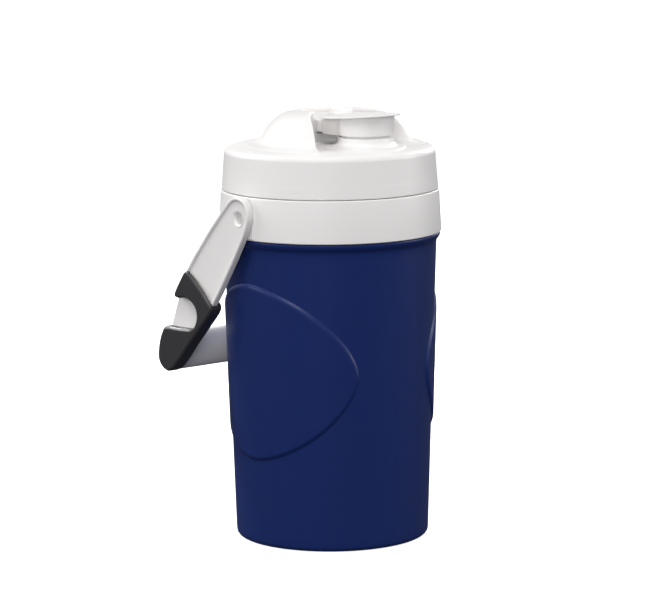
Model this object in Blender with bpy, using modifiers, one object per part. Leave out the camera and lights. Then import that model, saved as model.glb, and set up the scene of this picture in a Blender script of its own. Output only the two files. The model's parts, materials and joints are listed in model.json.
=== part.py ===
"""Insulated water jug with a screw lid, a flip-cap spout and a swinging carry handle.

Frame: the origin is the middle of the standing face, +Z is up, X is the line of the
handle pivots, -Y is the pouring side. At rest the handle hangs behind the jug (+Y).
"""

from math import asin, atan2, cos, hypot, pi, radians, sin, sqrt

import bmesh
import bpy
from mathutils import Matrix, Vector

MM = 0.001
FIT_GAP = 0.3 * MM          # between pieces that touch on the real jug
RUN_GAP = 0.4 * MM          # between pieces that turn in or past each other
OUTER_STEPS = 60            # flats round the big outer rings
INNER_STEPS = 40            # flats round hidden or small rings
TUBE_STEPS = 36             # flats round the pouring tube
PIN_STEPS = 24              # flats round pins and their bores
FINE_STEPS = 16             # flats round the smallest bores
BEYOND = 90 * MM            # clear of the jug's sides, where a cutter ends

# Jug body
BODY_TOP_RADIUS = 67.3 * MM
BODY_DRAFT = 6.0 * MM           # narrower at the foot than at the top
BODY_BASE_RADIUS = BODY_TOP_RADIUS - BODY_DRAFT
BODY_HEIGHT = 195.0 * MM    # underside of the white band
LIP_HEIGHT = 6.0 * MM
BODY_TAPER_HEIGHT = BODY_HEIGHT - LIP_HEIGHT
BODY_LIP_RADIUS = BODY_TOP_RADIUS + 2.5 * MM
BODY_FOOT_FILLET = 3.4 * MM
BODY_WALL = 2.0 * MM
FOAM_WALL = 5.4 * MM
LINER_WALL = 1.8 * MM
LINER_FLOOR = 11.0 * MM
LINER_EDGE = 9.0 * MM       # the rounding between its floor and its wall
LINER_FLARE = BODY_TAPER_HEIGHT - 3.0 * MM # it widens to the neck from here
FLARE_TOP = BODY_HEIGHT + 3.0 * MM
FOOT_RING_INNER = BODY_BASE_RADIUS - 17.3 * MM
FOOT_RECESS = 2.0 * MM
BASE_PAD_RADIUS = 15.0 * MM
PLUG_RADIUS = 9.0 * MM
PANEL_RAISE = 0.8 * MM
PANEL_HALF_WIDTH = 58.6 * MM
PANEL_HALF_HEIGHT = 55.6 * MM
PANEL_CENTRE_HEIGHT = 111.2 * MM
PANEL_POWER = 1.65          # 2 is an ellipse, 1 is a diamond

# Neck, band and thread
NECK_RADIUS = BODY_TOP_RADIUS - 5.5 * MM
NECK_WALL = 2.0 * MM
SLEEVE_WALL = 1.8 * MM
BAND_HEIGHT = 27.0 * MM
BAND_BOTTOM_RADIUS = BODY_LIP_RADIUS + 0.7 * MM
BAND_TOP_RADIUS = BAND_BOTTOM_RADIUS - 1.4 * MM
BAND_WALL = 2.6 * MM
THREAD_PITCH = 8.0 * MM
THREAD_DEPTH = 2.2 * MM
THREAD_HALF_HEIGHT = 1.2 * MM
THREAD_START = 6.0 * MM     # middle of the ridge above the band
NECK_THREAD_TURN = radians(270.0)
LID_THREAD_TURN = radians(180.0)
THREAD_LEAD_IN = radians(2.0)
THREAD_STEPS = 30           # flats along a ridge

# Lid
LID_SKIRT_HEIGHT = 23.9 * MM
LID_BOTTOM_RADIUS = BAND_TOP_RADIUS - 0.6 * MM
LID_TOP_RADIUS = LID_BOTTOM_RADIUS - 1.7 * MM
LID_EDGE_FILLET = 2.2 * MM
NECK_ROOM = 10.1 * MM           # from the neck up to the deck
LID_WALL = 2.0 * MM
DECK_RISE = 4.9 * MM
DOME_RADIUS = LID_TOP_RADIUS - 15.3 * MM
DOME_HEIGHT = 20.8 * MM
DOME_SHIFT = -5.0 * MM      # the dome sits a little towards the pouring side
SPOUT_Y = -35.0 * MM
SPOUT_RADIUS = 17.0 * MM
SPOUT_BORE = 12.5 * MM
SPOUT_LIP_RADIUS = SPOUT_RADIUS - 1.6 * MM
SPOUT_SHOULDER = 6.0 * MM   # above the deck
SPOUT_FLARE = 7.0 * MM
RELIEF_LENGTH = 17.6 * MM   # behind the axis
LINER_FLANGE = 1.4 * MM
LID_CUP_DEPTH = 11.0 * MM
TUBE_WALL = 1.6 * MM
GASKET_THICKNESS = 1.7 * MM

# Flip cap
CAP_SKIRT_RADIUS = SPOUT_LIP_RADIUS + 2.4 * MM
CAP_WALL = 1.5 * MM
CAP_SKIRT_HEIGHT = 11.1 * MM
CAP_PLATE_RADIUS = CAP_SKIRT_RADIUS + 3.4 * MM
POCKET_RADIUS = CAP_PLATE_RADIUS + 13.8 * MM  # finger room beside the cap
POCKET_SPLAY = radians(28.0)   # its sides open towards the front
CAP_PLATE_THICKNESS = 1.2 * MM
CAP_CROWN = 1.5 * MM
CAP_CROWN_INSET = 7.0 * MM
CAP_TILT = radians(4.3)     # the top plate falls towards the hinge
VENT_Y = SPOUT_Y + SPOUT_RADIUS + 5.4 * MM
CAP_PLATE_BACK = VENT_Y + 6.2 * MM
CAP_ARM_HALF_WIDTH = 12.0 * MM
LANDING_HALF_WIDTH = CAP_ARM_HALF_WIDTH + 3.8 * MM
HINGE_Y = CAP_PLATE_BACK + 10.4 * MM
HINGE_DROP = 6.7 * MM       # pin centre below the top plate's underside
HINGE_BARREL_RADIUS = 4.2 * MM
HINGE_PIN_RADIUS = 1.5 * MM
VENT_RADIUS = 2.6 * MM
VENT_BORE = 1.2 * MM

# Carry handle, given as it would hang straight down from its pivots
BAR_REST = 8.54451 * MM        # from the body's wall to the hanging bar's middle
BAR_LEAN = radians(15.0)       # how far the bar's section leans once it hangs
ARM_INNER = BAND_BOTTOM_RADIUS + 0.9 * MM # from the jug's axis to the inner face of an arm
ARM_THICKNESS = 5.0 * MM
ARM_RECESS = 1.5 * MM
ARM_RIM = 2.0 * MM
WEB_THICKNESS = 2.2 * MM
BAR_DROP = 118.2 * MM
BAR_OFFSET = 3.0 * MM
BAR_HALF_LENGTH = 12.9 * MM
BAR_HALF_WIDTH = 7.0 * MM
PIN_RADIUS = 4.9 * MM
EYE_RADIUS = PIN_RADIUS + FIT_GAP
PIN_BORE = PIN_RADIUS - 1.2 * MM
PIN_HEAD_RADIUS = PIN_RADIUS + 1.2 * MM
PIN_HEAD_THICKNESS = 0.9 * MM
BOSS_RADIUS = 9.3 * MM         # the pad behind each eye: round above, straight below
CLIP_PROUD = 2.5 * MM       # outer face of the clip beyond the arm's outer face
CLIP_LEG = 2.0 * MM

# Outlines as (across, down) from the pivot, in millimetres; +across is the back edge
ARM_OUTLINE = [
    (1.5, -13.6), (9.5, -10.0), (13.2, -3.0), (15.0, 10.0), (17.2, 30.0),
    (18.7, 60.0), (16.4, 82.0), (13.0, 96.0), (9.6, 107.0), (6.5, 114.0),
    (2.0, 118.6), (-2.5, 118.8), (-6.0, 114.6), (-8.2, 106.0), (-10.6, 92.0),
    (-12.8, 78.0), (-14.2, 62.0), (-14.0, 43.0), (-12.6, 18.0), (-10.6, 0.0),
    (-6.6, -9.4),
]
WEB_START = 65.0 * MM       # the arm is cut back to its web below this line
CLIP_LEG_EDGE = -9.0 * MM   # the clip's inner leg covers the arm up to here
CLIP_OUTLINE = [
    (17.0, 59.6), (17.8, 67.5), (17.0, 79.2), (13.0, 79.3), (7.5, 74.0),
    (0.7, 71.7), (-5.0, 72.5), (-9.0, 76.4), (-10.2, 82.0), (-7.5, 86.7),
    (1.8, 94.7), (11.4, 102.3), (12.0, 107.8), (9.6, 116.4), (4.4, 122.8),
    (-1.8, 124.6), (-7.5, 121.5), (-10.4, 111.8), (-13.2, 96.8), (-15.6, 78.8),
    (-16.9, 62.0), (-9.2, 59.4), (1.4, 58.4), (10.7, 58.2),
]

# Turns an outline drawn for a slab into one seen from above.
PLAN = Matrix(((0, 1, 0, 0), (0, 0, 1, 0), (1, 0, 0, 0), (0, 0, 0, 1)))

WHITE = ("white_plastic", (0.80, 0.78, 0.76), 0.35)
BLUE = ("blue_plastic", (0.010, 0.020, 0.105), 0.42)
GREY = ("dark_grey_plastic", (0.050, 0.050, 0.053), 0.45)
FOAM = ("insulation_foam", (0.83, 0.78, 0.58), 0.95)
SEAL = ("seal_silicone", (0.70, 0.71, 0.72), 0.60)

# Heights that follow from the sizes above
BAND_BOTTOM = BODY_HEIGHT + FIT_GAP
BAND_TOP = BODY_HEIGHT + BAND_HEIGHT
BAND_LEDGE = BAND_TOP - 2.8 * MM
PIVOT_HEIGHT = BODY_HEIGHT + BAND_HEIGHT / 2 + 0.2 * MM
# The handle hangs until its bar rests near the body's wall.
BAR_LENGTH = hypot(BAR_OFFSET, BAR_DROP)
BAR_FALL = sqrt(BAR_LENGTH ** 2 - (BODY_TOP_RADIUS + 6.2304 * MM) ** 2)
BAR_REACH = (BODY_BASE_RADIUS + BAR_REST
             + BODY_DRAFT * (PIVOT_HEIGHT - BAR_FALL) / BODY_TAPER_HEIGHT)
HANG_ANGLE = asin(BAR_REACH / BAR_LENGTH) - atan2(BAR_OFFSET, BAR_DROP)
BAR_TILT = HANG_ANGLE - BAR_LEAN
LINER_LEDGE_TOP = BAND_LEDGE - FIT_GAP
LINER_LEDGE_BOTTOM = LINER_LEDGE_TOP - LINER_WALL
SLEEVE_TOP = LINER_LEDGE_BOTTOM - FIT_GAP
SLEEVE_RADIUS = BAND_BOTTOM_RADIUS - 5.5 * MM
LID_BOTTOM = BAND_TOP + FIT_GAP
LID_SHOULDER = LID_BOTTOM + LID_SKIRT_HEIGHT
DECK_TOP = LID_SHOULDER + DECK_RISE
NECK_TOP = DECK_TOP - NECK_ROOM
GASKET_BOTTOM = NECK_TOP + FIT_GAP
LINER_FLANGE_BOTTOM = GASKET_BOTTOM + GASKET_THICKNESS + FIT_GAP
LINER_FLANGE_TOP = LINER_FLANGE_BOTTOM + LINER_FLANGE
SHOULDER_TOP = DECK_TOP + SPOUT_SHOULDER
CAP_BOTTOM = SHOULDER_TOP + RUN_GAP + 0.9 * MM
PLATE_BOTTOM = CAP_BOTTOM + CAP_SKIRT_HEIGHT
HINGE_Z = PLATE_BOTTOM - HINGE_DROP
SPOUT_LIP_TOP = PLATE_BOTTOM - 2.4 * MM
ARM_OUTER = ARM_INNER + ARM_THICKNESS
PIN_SEAT = ARM_OUTER - ARM_RECESS - PIN_HEAD_THICKNESS - FIT_GAP


# ---------------------------------------------------------------- scene and objects

def clear_scene():
    """Empty the scene and make the two collections that this script fills."""
    for found in list(bpy.data.objects):
        bpy.data.objects.remove(found, do_unlink=True)
    made = {}
    for name in ("water_jug", "cutters"):
        made[name] = bpy.data.collections.new(name)
        bpy.context.scene.collection.children.link(made[name])
    return made["water_jug"], made["cutters"]


PARTS, CUTTERS = clear_scene()


def material(finish):
    """The Principled material of one finish, made once."""
    name, colour, roughness = finish
    if name in bpy.data.materials:
        return bpy.data.materials[name]
    made = bpy.data.materials.new(name)
    made.use_nodes = True
    shader = made.node_tree.nodes["Principled BSDF"]
    shader.inputs["Base Color"].default_value = (*colour, 1.0)
    shader.inputs["Roughness"].default_value = roughness
    shader.inputs["Metallic"].default_value = 0.0
    return made


def new_object(name, mesh, finish=None):
    """Link a mesh as a part when it has a finish, and as a hidden cutter when not."""
    made = bpy.data.objects.new(name, mesh)
    if finish:
        PARTS.objects.link(made)
        mesh.materials.clear()
        mesh.materials.append(material(finish))
    else:
        CUTTERS.objects.link(made)
        made.hide_render = True
        made.display_type = "WIRE"
    return made


def smooth(made, angle=35.0):
    """Shade round faces smooth and keep real edges sharp."""
    made.data.shade_smooth()
    made.data.set_sharp_from_angle(angle=radians(angle))
    return made


def combine(made, other, operation):
    """Add a Boolean with another object to this one."""
    step = made.modifiers.new(other.name, "BOOLEAN")
    step.operation = operation
    step.object = other
    step.solver = "EXACT"
    return made


def cut(made, *others):
    for other in others:
        combine(made, other, "DIFFERENCE")
    return made


def join(made, *others):
    for other in others:
        combine(made, other, "UNION")
    return made


def baked(made):
    """A mesh of the object as its modifiers leave it, closed and facing out."""
    bpy.context.view_layer.update()
    graph = bpy.context.evaluated_depsgraph_get()
    mesh = bpy.data.meshes.new_from_object(made.evaluated_get(graph))
    mesh.transform(made.matrix_world)
    shape = bmesh.new()
    shape.from_mesh(mesh)
    bmesh.ops.remove_doubles(shape, verts=shape.verts, dist=1e-6)
    bmesh.ops.holes_fill(shape, edges=[e for e in shape.edges if e.is_boundary])
    bmesh.ops.recalc_face_normals(shape, faces=shape.faces)
    shape.to_mesh(mesh)
    shape.free()
    return mesh


# ---------------------------------------------------------------- shapes

def turned(name, profile, finish=None, steps=OUTER_STEPS, centre_y=0.0, closed=True):
    """Turn a profile of (radius, height) points, top to bottom on its outer side."""
    mesh = bpy.data.meshes.new(name)
    count = len(profile)
    edges = [(i, (i + 1) % count) for i in range(count if closed else count - 1)]
    mesh.from_pydata([(r, 0.0, z) for r, z in profile], edges, [])
    made = new_object(name, mesh, finish)
    made.location.y = centre_y
    screw = made.modifiers.new("turn", "SCREW")
    screw.axis = "Z"
    screw.steps = screw.render_steps = steps
    screw.use_merge_vertices = True
    screw.merge_threshold = 1e-5
    screw.use_smooth_shade = True
    return made


def solid_turned(name, profile, finish=None, steps=OUTER_STEPS, centre_y=0.0):
    """Turn a profile whose first and last points lie on the axis."""
    return turned(name, profile, finish, steps, centre_y, closed=False)


def cylinder(name, radius, low, high, finish=None, steps=INNER_STEPS, centre_y=0.0):
    """An upright cylinder between two heights."""
    profile = [(0.0, high), (radius, high), (radius, low), (0.0, low)]
    return solid_turned(name, profile, finish, steps, centre_y)


def cross_cylinder(name, radius, x_from, x_to, y, z, steps=INNER_STEPS, finish=None):
    """A cylinder along X."""
    mesh = bpy.data.meshes.new(name)
    shape = bmesh.new()
    bmesh.ops.create_cone(
        shape, cap_ends=True, segments=steps, radius1=radius, radius2=radius,
        depth=x_to - x_from,
    )
    shape.to_mesh(mesh)
    shape.free()
    made = new_object(name, mesh, finish)
    made.rotation_euler.y = pi / 2
    made.location = ((x_from + x_to) / 2, y, z)
    return made


def box(name, low, high, finish=None):
    """A box between two corners."""
    mesh = bpy.data.meshes.new(name)
    shape = bmesh.new()
    size = [b - a for a, b in zip(low, high)]
    bmesh.ops.create_cube(shape, size=1.0, matrix=Matrix.Diagonal((*size, 1.0)))
    shape.to_mesh(mesh)
    shape.free()
    made = new_object(name, mesh, finish)
    made.location = [(a + b) / 2 for a, b in zip(low, high)]
    return made


def slab(name, outline, x_from, x_to, finish=None, frame=None):
    """A flat outline of (y, z) points given a thickness along X."""
    curve = bpy.data.curves.new(name + "_outline", "CURVE")
    curve.dimensions = "2D"
    curve.fill_mode = "BOTH"
    curve.extrude = (x_to - x_from) / 2
    spline = curve.splines.new("POLY")
    spline.points.add(len(outline) - 1)
    for point, (y, z) in zip(spline.points, outline):
        point.co = (y, z, 0.0, 1.0)
    spline.use_cyclic_u = True
    guide = bpy.data.objects.new(name + "_outline", curve)
    CUTTERS.objects.link(guide)
    guide.rotation_euler = (pi / 2, 0.0, pi / 2)
    guide.location.x = (x_from + x_to) / 2
    mesh = baked(guide)
    bpy.data.objects.remove(guide, do_unlink=True)
    if frame:
        mesh.transform(frame)
    return new_object(name, mesh, finish)


def rounded(points, steps=3):
    """A smooth closed line through (across, down) points in millimetres, as (y, z)."""
    line = []
    count = len(points)
    for i in range(count):
        a, b, c, d = (Vector(points[(i + k) % count]) for k in (-1, 0, 1, 2))
        for step in range(steps):
            t = step / steps
            at = 0.5 * (
                2 * b + (c - a) * t + (2 * a - 5 * b + 4 * c - d) * t * t
                + (3 * b - 3 * c + d - a) * t ** 3
            )
            line.append((at.x * MM, -at.y * MM))
    return line


def inset(line, distance):
    """The closed line moved inwards by a distance."""
    count = len(line)
    area = sum(
        line[i][0] * line[(i + 1) % count][1] - line[(i + 1) % count][0] * line[i][1]
        for i in range(count)
    )
    side = -1.0 if area < 0 else 1.0
    moved = []
    for i in range(count):
        along = Vector(line[(i + 1) % count]) - Vector(line[i - 1])
        normal = Vector((-along.y, along.x)).normalized() * side
        moved.append(tuple(Vector(line[i]) + normal * distance))
    return moved


def thread(name, radius, depth, middle, start, turn, steps=THREAD_STEPS):
    """A helical ridge from one radius to another, rising anticlockwise."""
    mesh = bpy.data.meshes.new(name)
    top = THREAD_HALF_HEIGHT
    tip = 0.55 * top
    profile = [
        (radius, middle + top), (radius + depth, middle + tip),
        (radius + depth, middle - tip), (radius, middle - top),
    ]
    mesh.from_pydata(
        [(r * cos(start), r * sin(start), z) for r, z in profile],
        [(0, 1), (1, 2), (2, 3), (3, 0)], [],
    )
    guide = new_object(name + "_guide", mesh)
    screw = guide.modifiers.new("helix", "SCREW")
    screw.angle = turn
    screw.screw_offset = THREAD_PITCH * turn / (2 * pi)
    screw.steps = screw.render_steps = steps
    ridge = baked(guide)
    bpy.data.objects.remove(guide, do_unlink=True)
    shape = bmesh.new()
    shape.from_mesh(ridge)
    bmesh.ops.triangulate(shape, faces=shape.faces)
    shape.to_mesh(ridge)
    shape.free()
    return new_object(name, ridge)


# ---------------------------------------------------------------- jug body

def wall_radius(height):
    """Outer radius of the tapered wall at a height."""
    share = height / BODY_TAPER_HEIGHT
    return BODY_BASE_RADIUS + (BODY_TOP_RADIUS - BODY_BASE_RADIUS) * share


def foot_arc(steps=4):
    """The rounded edge of the foot, from the wall down to the standing face."""
    fillet = BODY_FOOT_FILLET
    centre = wall_radius(fillet) - fillet
    turns = [i / steps * pi / 2 for i in range(steps + 1)]
    return [(centre + fillet * cos(a), fillet - fillet * sin(a)) for a in turns]


def panel_outline():
    """The pointed oval of a side panel, as (y, z) points."""
    line = []
    for i in range(48):
        a = 2 * pi * i / 48
        y = abs(cos(a)) ** (2 / PANEL_POWER) * (1 if cos(a) >= 0 else -1)
        z = abs(sin(a)) ** (2 / PANEL_POWER) * (1 if sin(a) >= 0 else -1)
        line.append((PANEL_HALF_WIDTH * y, PANEL_CENTRE_HEIGHT + PANEL_HALF_HEIGHT * z))
    return line


def outer_body():
    """The blue shell with its foot ring, its lip and the sleeve inside the band."""
    sleeve_in = SLEEVE_RADIUS - SLEEVE_WALL
    taper_in = wall_radius(BODY_TAPER_HEIGHT) - BODY_WALL
    ledge = BODY_HEIGHT - BODY_WALL
    profile = [
        (sleeve_in, SLEEVE_TOP), (SLEEVE_RADIUS, SLEEVE_TOP),
        (SLEEVE_RADIUS, BODY_HEIGHT), (BODY_LIP_RADIUS - 0.5 * MM, BODY_HEIGHT),
        (BODY_LIP_RADIUS, BODY_HEIGHT - 0.6 * MM),
        (BODY_LIP_RADIUS - 0.5 * MM, BODY_HEIGHT - 2.4 * MM),
        (wall_radius(BODY_TAPER_HEIGHT) + 0.5 * MM, BODY_HEIGHT - 4.4 * MM),
        (wall_radius(BODY_TAPER_HEIGHT), BODY_TAPER_HEIGHT),
        (wall_radius(140 * MM), 140 * MM), (wall_radius(80 * MM), 80 * MM),
        (wall_radius(30 * MM), 30 * MM),
        *foot_arc(),
        (FOOT_RING_INNER, 0.0), (FOOT_RING_INNER - 2 * MM, FOOT_RECESS),
        (BASE_PAD_RADIUS + 2 * MM, FOOT_RECESS), (BASE_PAD_RADIUS, 0.0),
        (PLUG_RADIUS + FIT_GAP, 0.0), (PLUG_RADIUS + FIT_GAP, BODY_WALL),
        (BASE_PAD_RADIUS, BODY_WALL), (BASE_PAD_RADIUS, FOOT_RECESS + BODY_WALL),
        (wall_radius(0) - BODY_FOOT_FILLET - BODY_WALL, FOOT_RECESS + BODY_WALL),
        (wall_radius(0) - BODY_WALL, FOOT_RECESS + 3 * BODY_WALL),
        (taper_in, BODY_TAPER_HEIGHT - BODY_WALL), (taper_in - 1.0 * MM, ledge),
        (sleeve_in, ledge),
    ]
    body = turned("outer_body", profile, BLUE)
    for side in (-1, 1):
        skin_in = [(wall_radius(z) - 0.6 * MM, z) for z in (20 * MM, 180 * MM)]
        skin_out = [(wall_radius(z) + PANEL_RAISE, z) for z in (180 * MM, 20 * MM)]
        skin = turned("panel_skin", skin_out + skin_in)
        reach = sorted((side * 20 * MM, side * BEYOND))
        leaf = slab("panel_leaf", panel_outline(), *reach)
        panel = new_object("panel", baked(combine(skin, leaf, "INTERSECT")))
        bpy.data.objects.remove(skin, do_unlink=True)
        bpy.data.objects.remove(leaf, do_unlink=True)
        join(body, panel)
    return smooth(body)


def base_plug():
    """The plug in the filling hole, flush with the standing face."""
    barb = PLUG_RADIUS + 0.9 * MM
    over = BODY_WALL + FIT_GAP
    profile = [
        (0.0, over + 1.3 * MM), (PLUG_RADIUS, over + 1.3 * MM), (barb, over + 0.4 * MM),
        (barb, over), (PLUG_RADIUS, over), (PLUG_RADIUS, 0.0), (0.0, 0.0),
    ]
    return smooth(solid_turned("base_plug", profile, BLUE, INNER_STEPS))


def liner_radius(height):
    """Outer radius of the inner liner at a height."""
    return wall_radius(height) - BODY_WALL - FOAM_WALL - 2 * FIT_GAP


def inner_liner():
    """The white tub: floor, tapered wall, and a neck that carries the lid's thread."""
    low = LINER_FLOOR
    r_low = liner_radius(low + LINER_EDGE)
    outside = [
        (NECK_RADIUS - 0.6 * MM, NECK_TOP), (NECK_RADIUS, NECK_TOP - 0.6 * MM),
        (NECK_RADIUS, LINER_LEDGE_TOP), (SLEEVE_RADIUS - FIT_GAP, LINER_LEDGE_TOP),
        (SLEEVE_RADIUS - FIT_GAP, LINER_LEDGE_BOTTOM), (NECK_RADIUS, LINER_LEDGE_BOTTOM),
        (NECK_RADIUS, FLARE_TOP), (liner_radius(LINER_FLARE), LINER_FLARE),
        (r_low, low + LINER_EDGE), (r_low - 0.3 * LINER_EDGE, low + 0.3 * LINER_EDGE),
        (r_low - LINER_EDGE, low), (0.0, low),
    ]
    high = low + LINER_WALL
    r_in = r_low - LINER_WALL
    inside = [
        (0.0, high), (r_in - LINER_EDGE, high),
        (r_in - 0.3 * LINER_EDGE, high + 0.3 * LINER_EDGE), (r_in, high + LINER_EDGE),
        (liner_radius(LINER_FLARE) - LINER_WALL, LINER_FLARE),
        (NECK_RADIUS - NECK_WALL, FLARE_TOP), (NECK_RADIUS - NECK_WALL, NECK_TOP - 0.5 * MM),
    ]
    liner = turned("inner_liner", outside + inside, WHITE, INNER_STEPS)
    ridge = thread(
        "neck_thread", NECK_RADIUS - 0.6 * MM, THREAD_DEPTH + 0.6 * MM,
        BAND_TOP + THREAD_START, THREAD_LEAD_IN, NECK_THREAD_TURN,
    )
    return smooth(join(liner, ridge))


def body_foam():
    """Insulation between the shell and the liner."""
    top = LINER_FLARE
    low = FOOT_RECESS + BODY_WALL + FIT_GAP
    skin = BODY_WALL + FIT_GAP
    r_low = liner_radius(LINER_FLOOR + LINER_EDGE) + FIT_GAP
    profile = [
        (liner_radius(top) + FIT_GAP, top), (wall_radius(top) - skin, top),
        (wall_radius(0) - skin, FOOT_RECESS + 3 * BODY_WALL),
        (wall_radius(0) - skin - 6 * MM, low), (0.0, low),
        (0.0, LINER_FLOOR - FIT_GAP), (r_low - LINER_EDGE, LINER_FLOOR - FIT_GAP),
        (r_low - 0.3 * LINER_EDGE, LINER_FLOOR + 0.3 * LINER_EDGE - FIT_GAP),
        (r_low, LINER_FLOOR + LINER_EDGE),
    ]
    return turned("body_foam", profile, FOAM, INNER_STEPS)


def neck_collar():
    """The white band with a pivot pad on each side."""
    lip = NECK_RADIUS + FIT_GAP
    profile = [
        (lip, BAND_TOP), (BAND_TOP_RADIUS - 0.7 * MM, BAND_TOP),
        (BAND_TOP_RADIUS, BAND_TOP - 0.7 * MM),
        (BAND_BOTTOM_RADIUS, BAND_BOTTOM + 0.6 * MM),
        (BAND_BOTTOM_RADIUS - 0.6 * MM, BAND_BOTTOM),
        (BAND_BOTTOM_RADIUS - BAND_WALL, BAND_BOTTOM),
        (BAND_TOP_RADIUS - BAND_WALL, BAND_LEDGE), (lip, BAND_LEDGE),
    ]
    band = turned("neck_collar", profile, WHITE)
    arch = [pi * i / 16 for i in range(17)]
    pad = [(BOSS_RADIUS * cos(a), PIVOT_HEIGHT + BOSS_RADIUS * sin(a)) for a in arch]
    pad += [(-BOSS_RADIUS, BAND_BOTTOM + MM), (BOSS_RADIUS, BAND_BOTTOM + MM)]
    for side in (-1, 1):
        reach = sorted((side * (SLEEVE_RADIUS + 1.2 * MM), side * (ARM_INNER - RUN_GAP)))
        join(band, slab("pivot_pad", pad, *reach))
    cut(band, cross_cylinder("pivot_bore", EYE_RADIUS, -BEYOND, BEYOND, 0.0, PIVOT_HEIGHT,
                             PIN_STEPS))
    return smooth(band)


def pivot_pin(name, side):
    """A hollow snap pin: head outside the arm, barb behind the boss."""
    inner = SLEEVE_RADIUS + 0.2 * MM
    barb = inner + 0.6 * MM
    seat = PIN_SEAT + FIT_GAP
    profile = [
        (0.0, seat - 7 * MM), (PIN_BORE, seat - 7 * MM),
        (PIN_BORE, seat), (PIN_BORE + 0.8 * MM, seat + PIN_HEAD_THICKNESS),
        (PIN_HEAD_RADIUS, seat + PIN_HEAD_THICKNESS), (PIN_HEAD_RADIUS, seat),
        (PIN_RADIUS, seat), (PIN_RADIUS, barb), (PIN_RADIUS + 0.8 * MM, barb),
        (PIN_RADIUS, inner), (0.0, inner),
    ]
    pin = solid_turned(name, profile, WHITE, PIN_STEPS)
    pin.rotation_euler.y = side * pi / 2
    pin.location.z = PIVOT_HEIGHT
    return smooth(pin)


# ---------------------------------------------------------------- lid

def lid_core(name, inward, floor, finish=None):
    """The lid's outer form moved inwards: skirt, deck and dome less the cap's pocket."""
    top = DECK_TOP - inward
    slope = (LID_BOTTOM_RADIUS - LID_TOP_RADIUS) / LID_SKIRT_HEIGHT
    r_floor = LID_BOTTOM_RADIUS - inward - slope * (floor - LID_BOTTOM)
    fillet = LID_EDGE_FILLET
    skirt = [
        (0.0, top), (DOME_RADIUS, top), (LID_TOP_RADIUS - inward - fillet, top - 2.9 * MM),
        (LID_TOP_RADIUS - inward - 0.3 * fillet, LID_SHOULDER - inward + 0.7 * fillet),
        (LID_TOP_RADIUS - inward, LID_SHOULDER - inward), (r_floor, floor), (0.0, floor),
    ]
    core = solid_turned(name, skirt, finish)
    top = DECK_TOP + DOME_HEIGHT
    dome = [
        (0.0, top), (0.39 * DOME_RADIUS, top - 0.2 * MM), (0.6 * DOME_RADIUS, top - 1.0 * MM),
        (0.70 * DOME_RADIUS, top - 3.6 * MM), (0.79 * DOME_RADIUS, top - 7.2 * MM),
        (0.845 * DOME_RADIUS, top - 11.2 * MM), (0.92 * DOME_RADIUS, top - 17.0 * MM),
        (DOME_RADIUS, top - DOME_HEIGHT),
    ]
    dome = [(max(0.0, r - inward) if r else 0.0, z - inward) for r, z in dome]
    dome += [(DOME_RADIUS - inward, DECK_TOP - 2 * MM - inward), (0.0, DECK_TOP - 2 * MM - inward)]
    housing = solid_turned("dome", dome, None, OUTER_STEPS, DOME_SHIFT)
    return join(core, cut(housing, *cap_pocket(inward)))


def pocket_outline(radius, steps=15):
    """The pocket seen from above: round behind the spout, splayed in front of it."""
    line = []
    for i in range(steps + 1):
        a = POCKET_SPLAY + (pi - 2 * POCKET_SPLAY) * i / steps
        line.append((radius * cos(a), SPOUT_Y + radius * sin(a)))
    along = (line[-1][1] + BEYOND) / cos(POCKET_SPLAY)
    out = line[-1][0] - along * sin(POCKET_SPLAY)
    return [(-out, -BEYOND)] + line + [(out, -BEYOND)]


def cap_pocket(wall):
    """Cutters for the space round the spout, the landing behind it and the hinge slot."""
    deep = DECK_TOP - 10 * MM
    sky = DECK_TOP + DOME_HEIGHT + 10 * MM
    relief = LANDING_HALF_WIDTH + wall
    slot = CAP_ARM_HALF_WIDTH + RUN_GAP + wall
    slot_back = HINGE_Y + HINGE_BARREL_RADIUS + 2 * RUN_GAP + wall
    slot_floor = HINGE_Z - HINGE_BARREL_RADIUS - 2 * RUN_GAP - wall
    return (
        slab("pocket", pocket_outline(POCKET_RADIUS + wall), deep, sky, None, PLAN),
        box("landing", (-relief, SPOUT_Y, HINGE_Z + 4.4 * MM - wall),
            (relief, RELIEF_LENGTH + wall, sky)),
        box("hinge_slot", (-slot, SPOUT_Y + MM, slot_floor), (slot, slot_back, sky + MM)),
    )


def spout_profile():
    """The spout from its bore over the lip and shoulder to its flared foot."""
    foot = SPOUT_RADIUS + SPOUT_FLARE
    flare = [
        (SPOUT_RADIUS + SPOUT_FLARE * (1 - cos(a)), DECK_TOP + 5.2 * MM * (1 - sin(a)) + 0.1 * MM)
        for a in (0.15 * pi, 0.27 * pi, 0.38 * pi, 0.5 * pi)
    ]
    return [
        (0.0, SPOUT_LIP_TOP), (SPOUT_LIP_RADIUS, SPOUT_LIP_TOP),
        (SPOUT_LIP_RADIUS, SHOULDER_TOP), (SPOUT_RADIUS - 0.4 * MM, SHOULDER_TOP),
        (SPOUT_RADIUS, SHOULDER_TOP - 0.5 * MM), *flare,
        (foot, DECK_TOP - 1.0 * MM), (0.0, DECK_TOP - 1.0 * MM),
    ]


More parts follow.
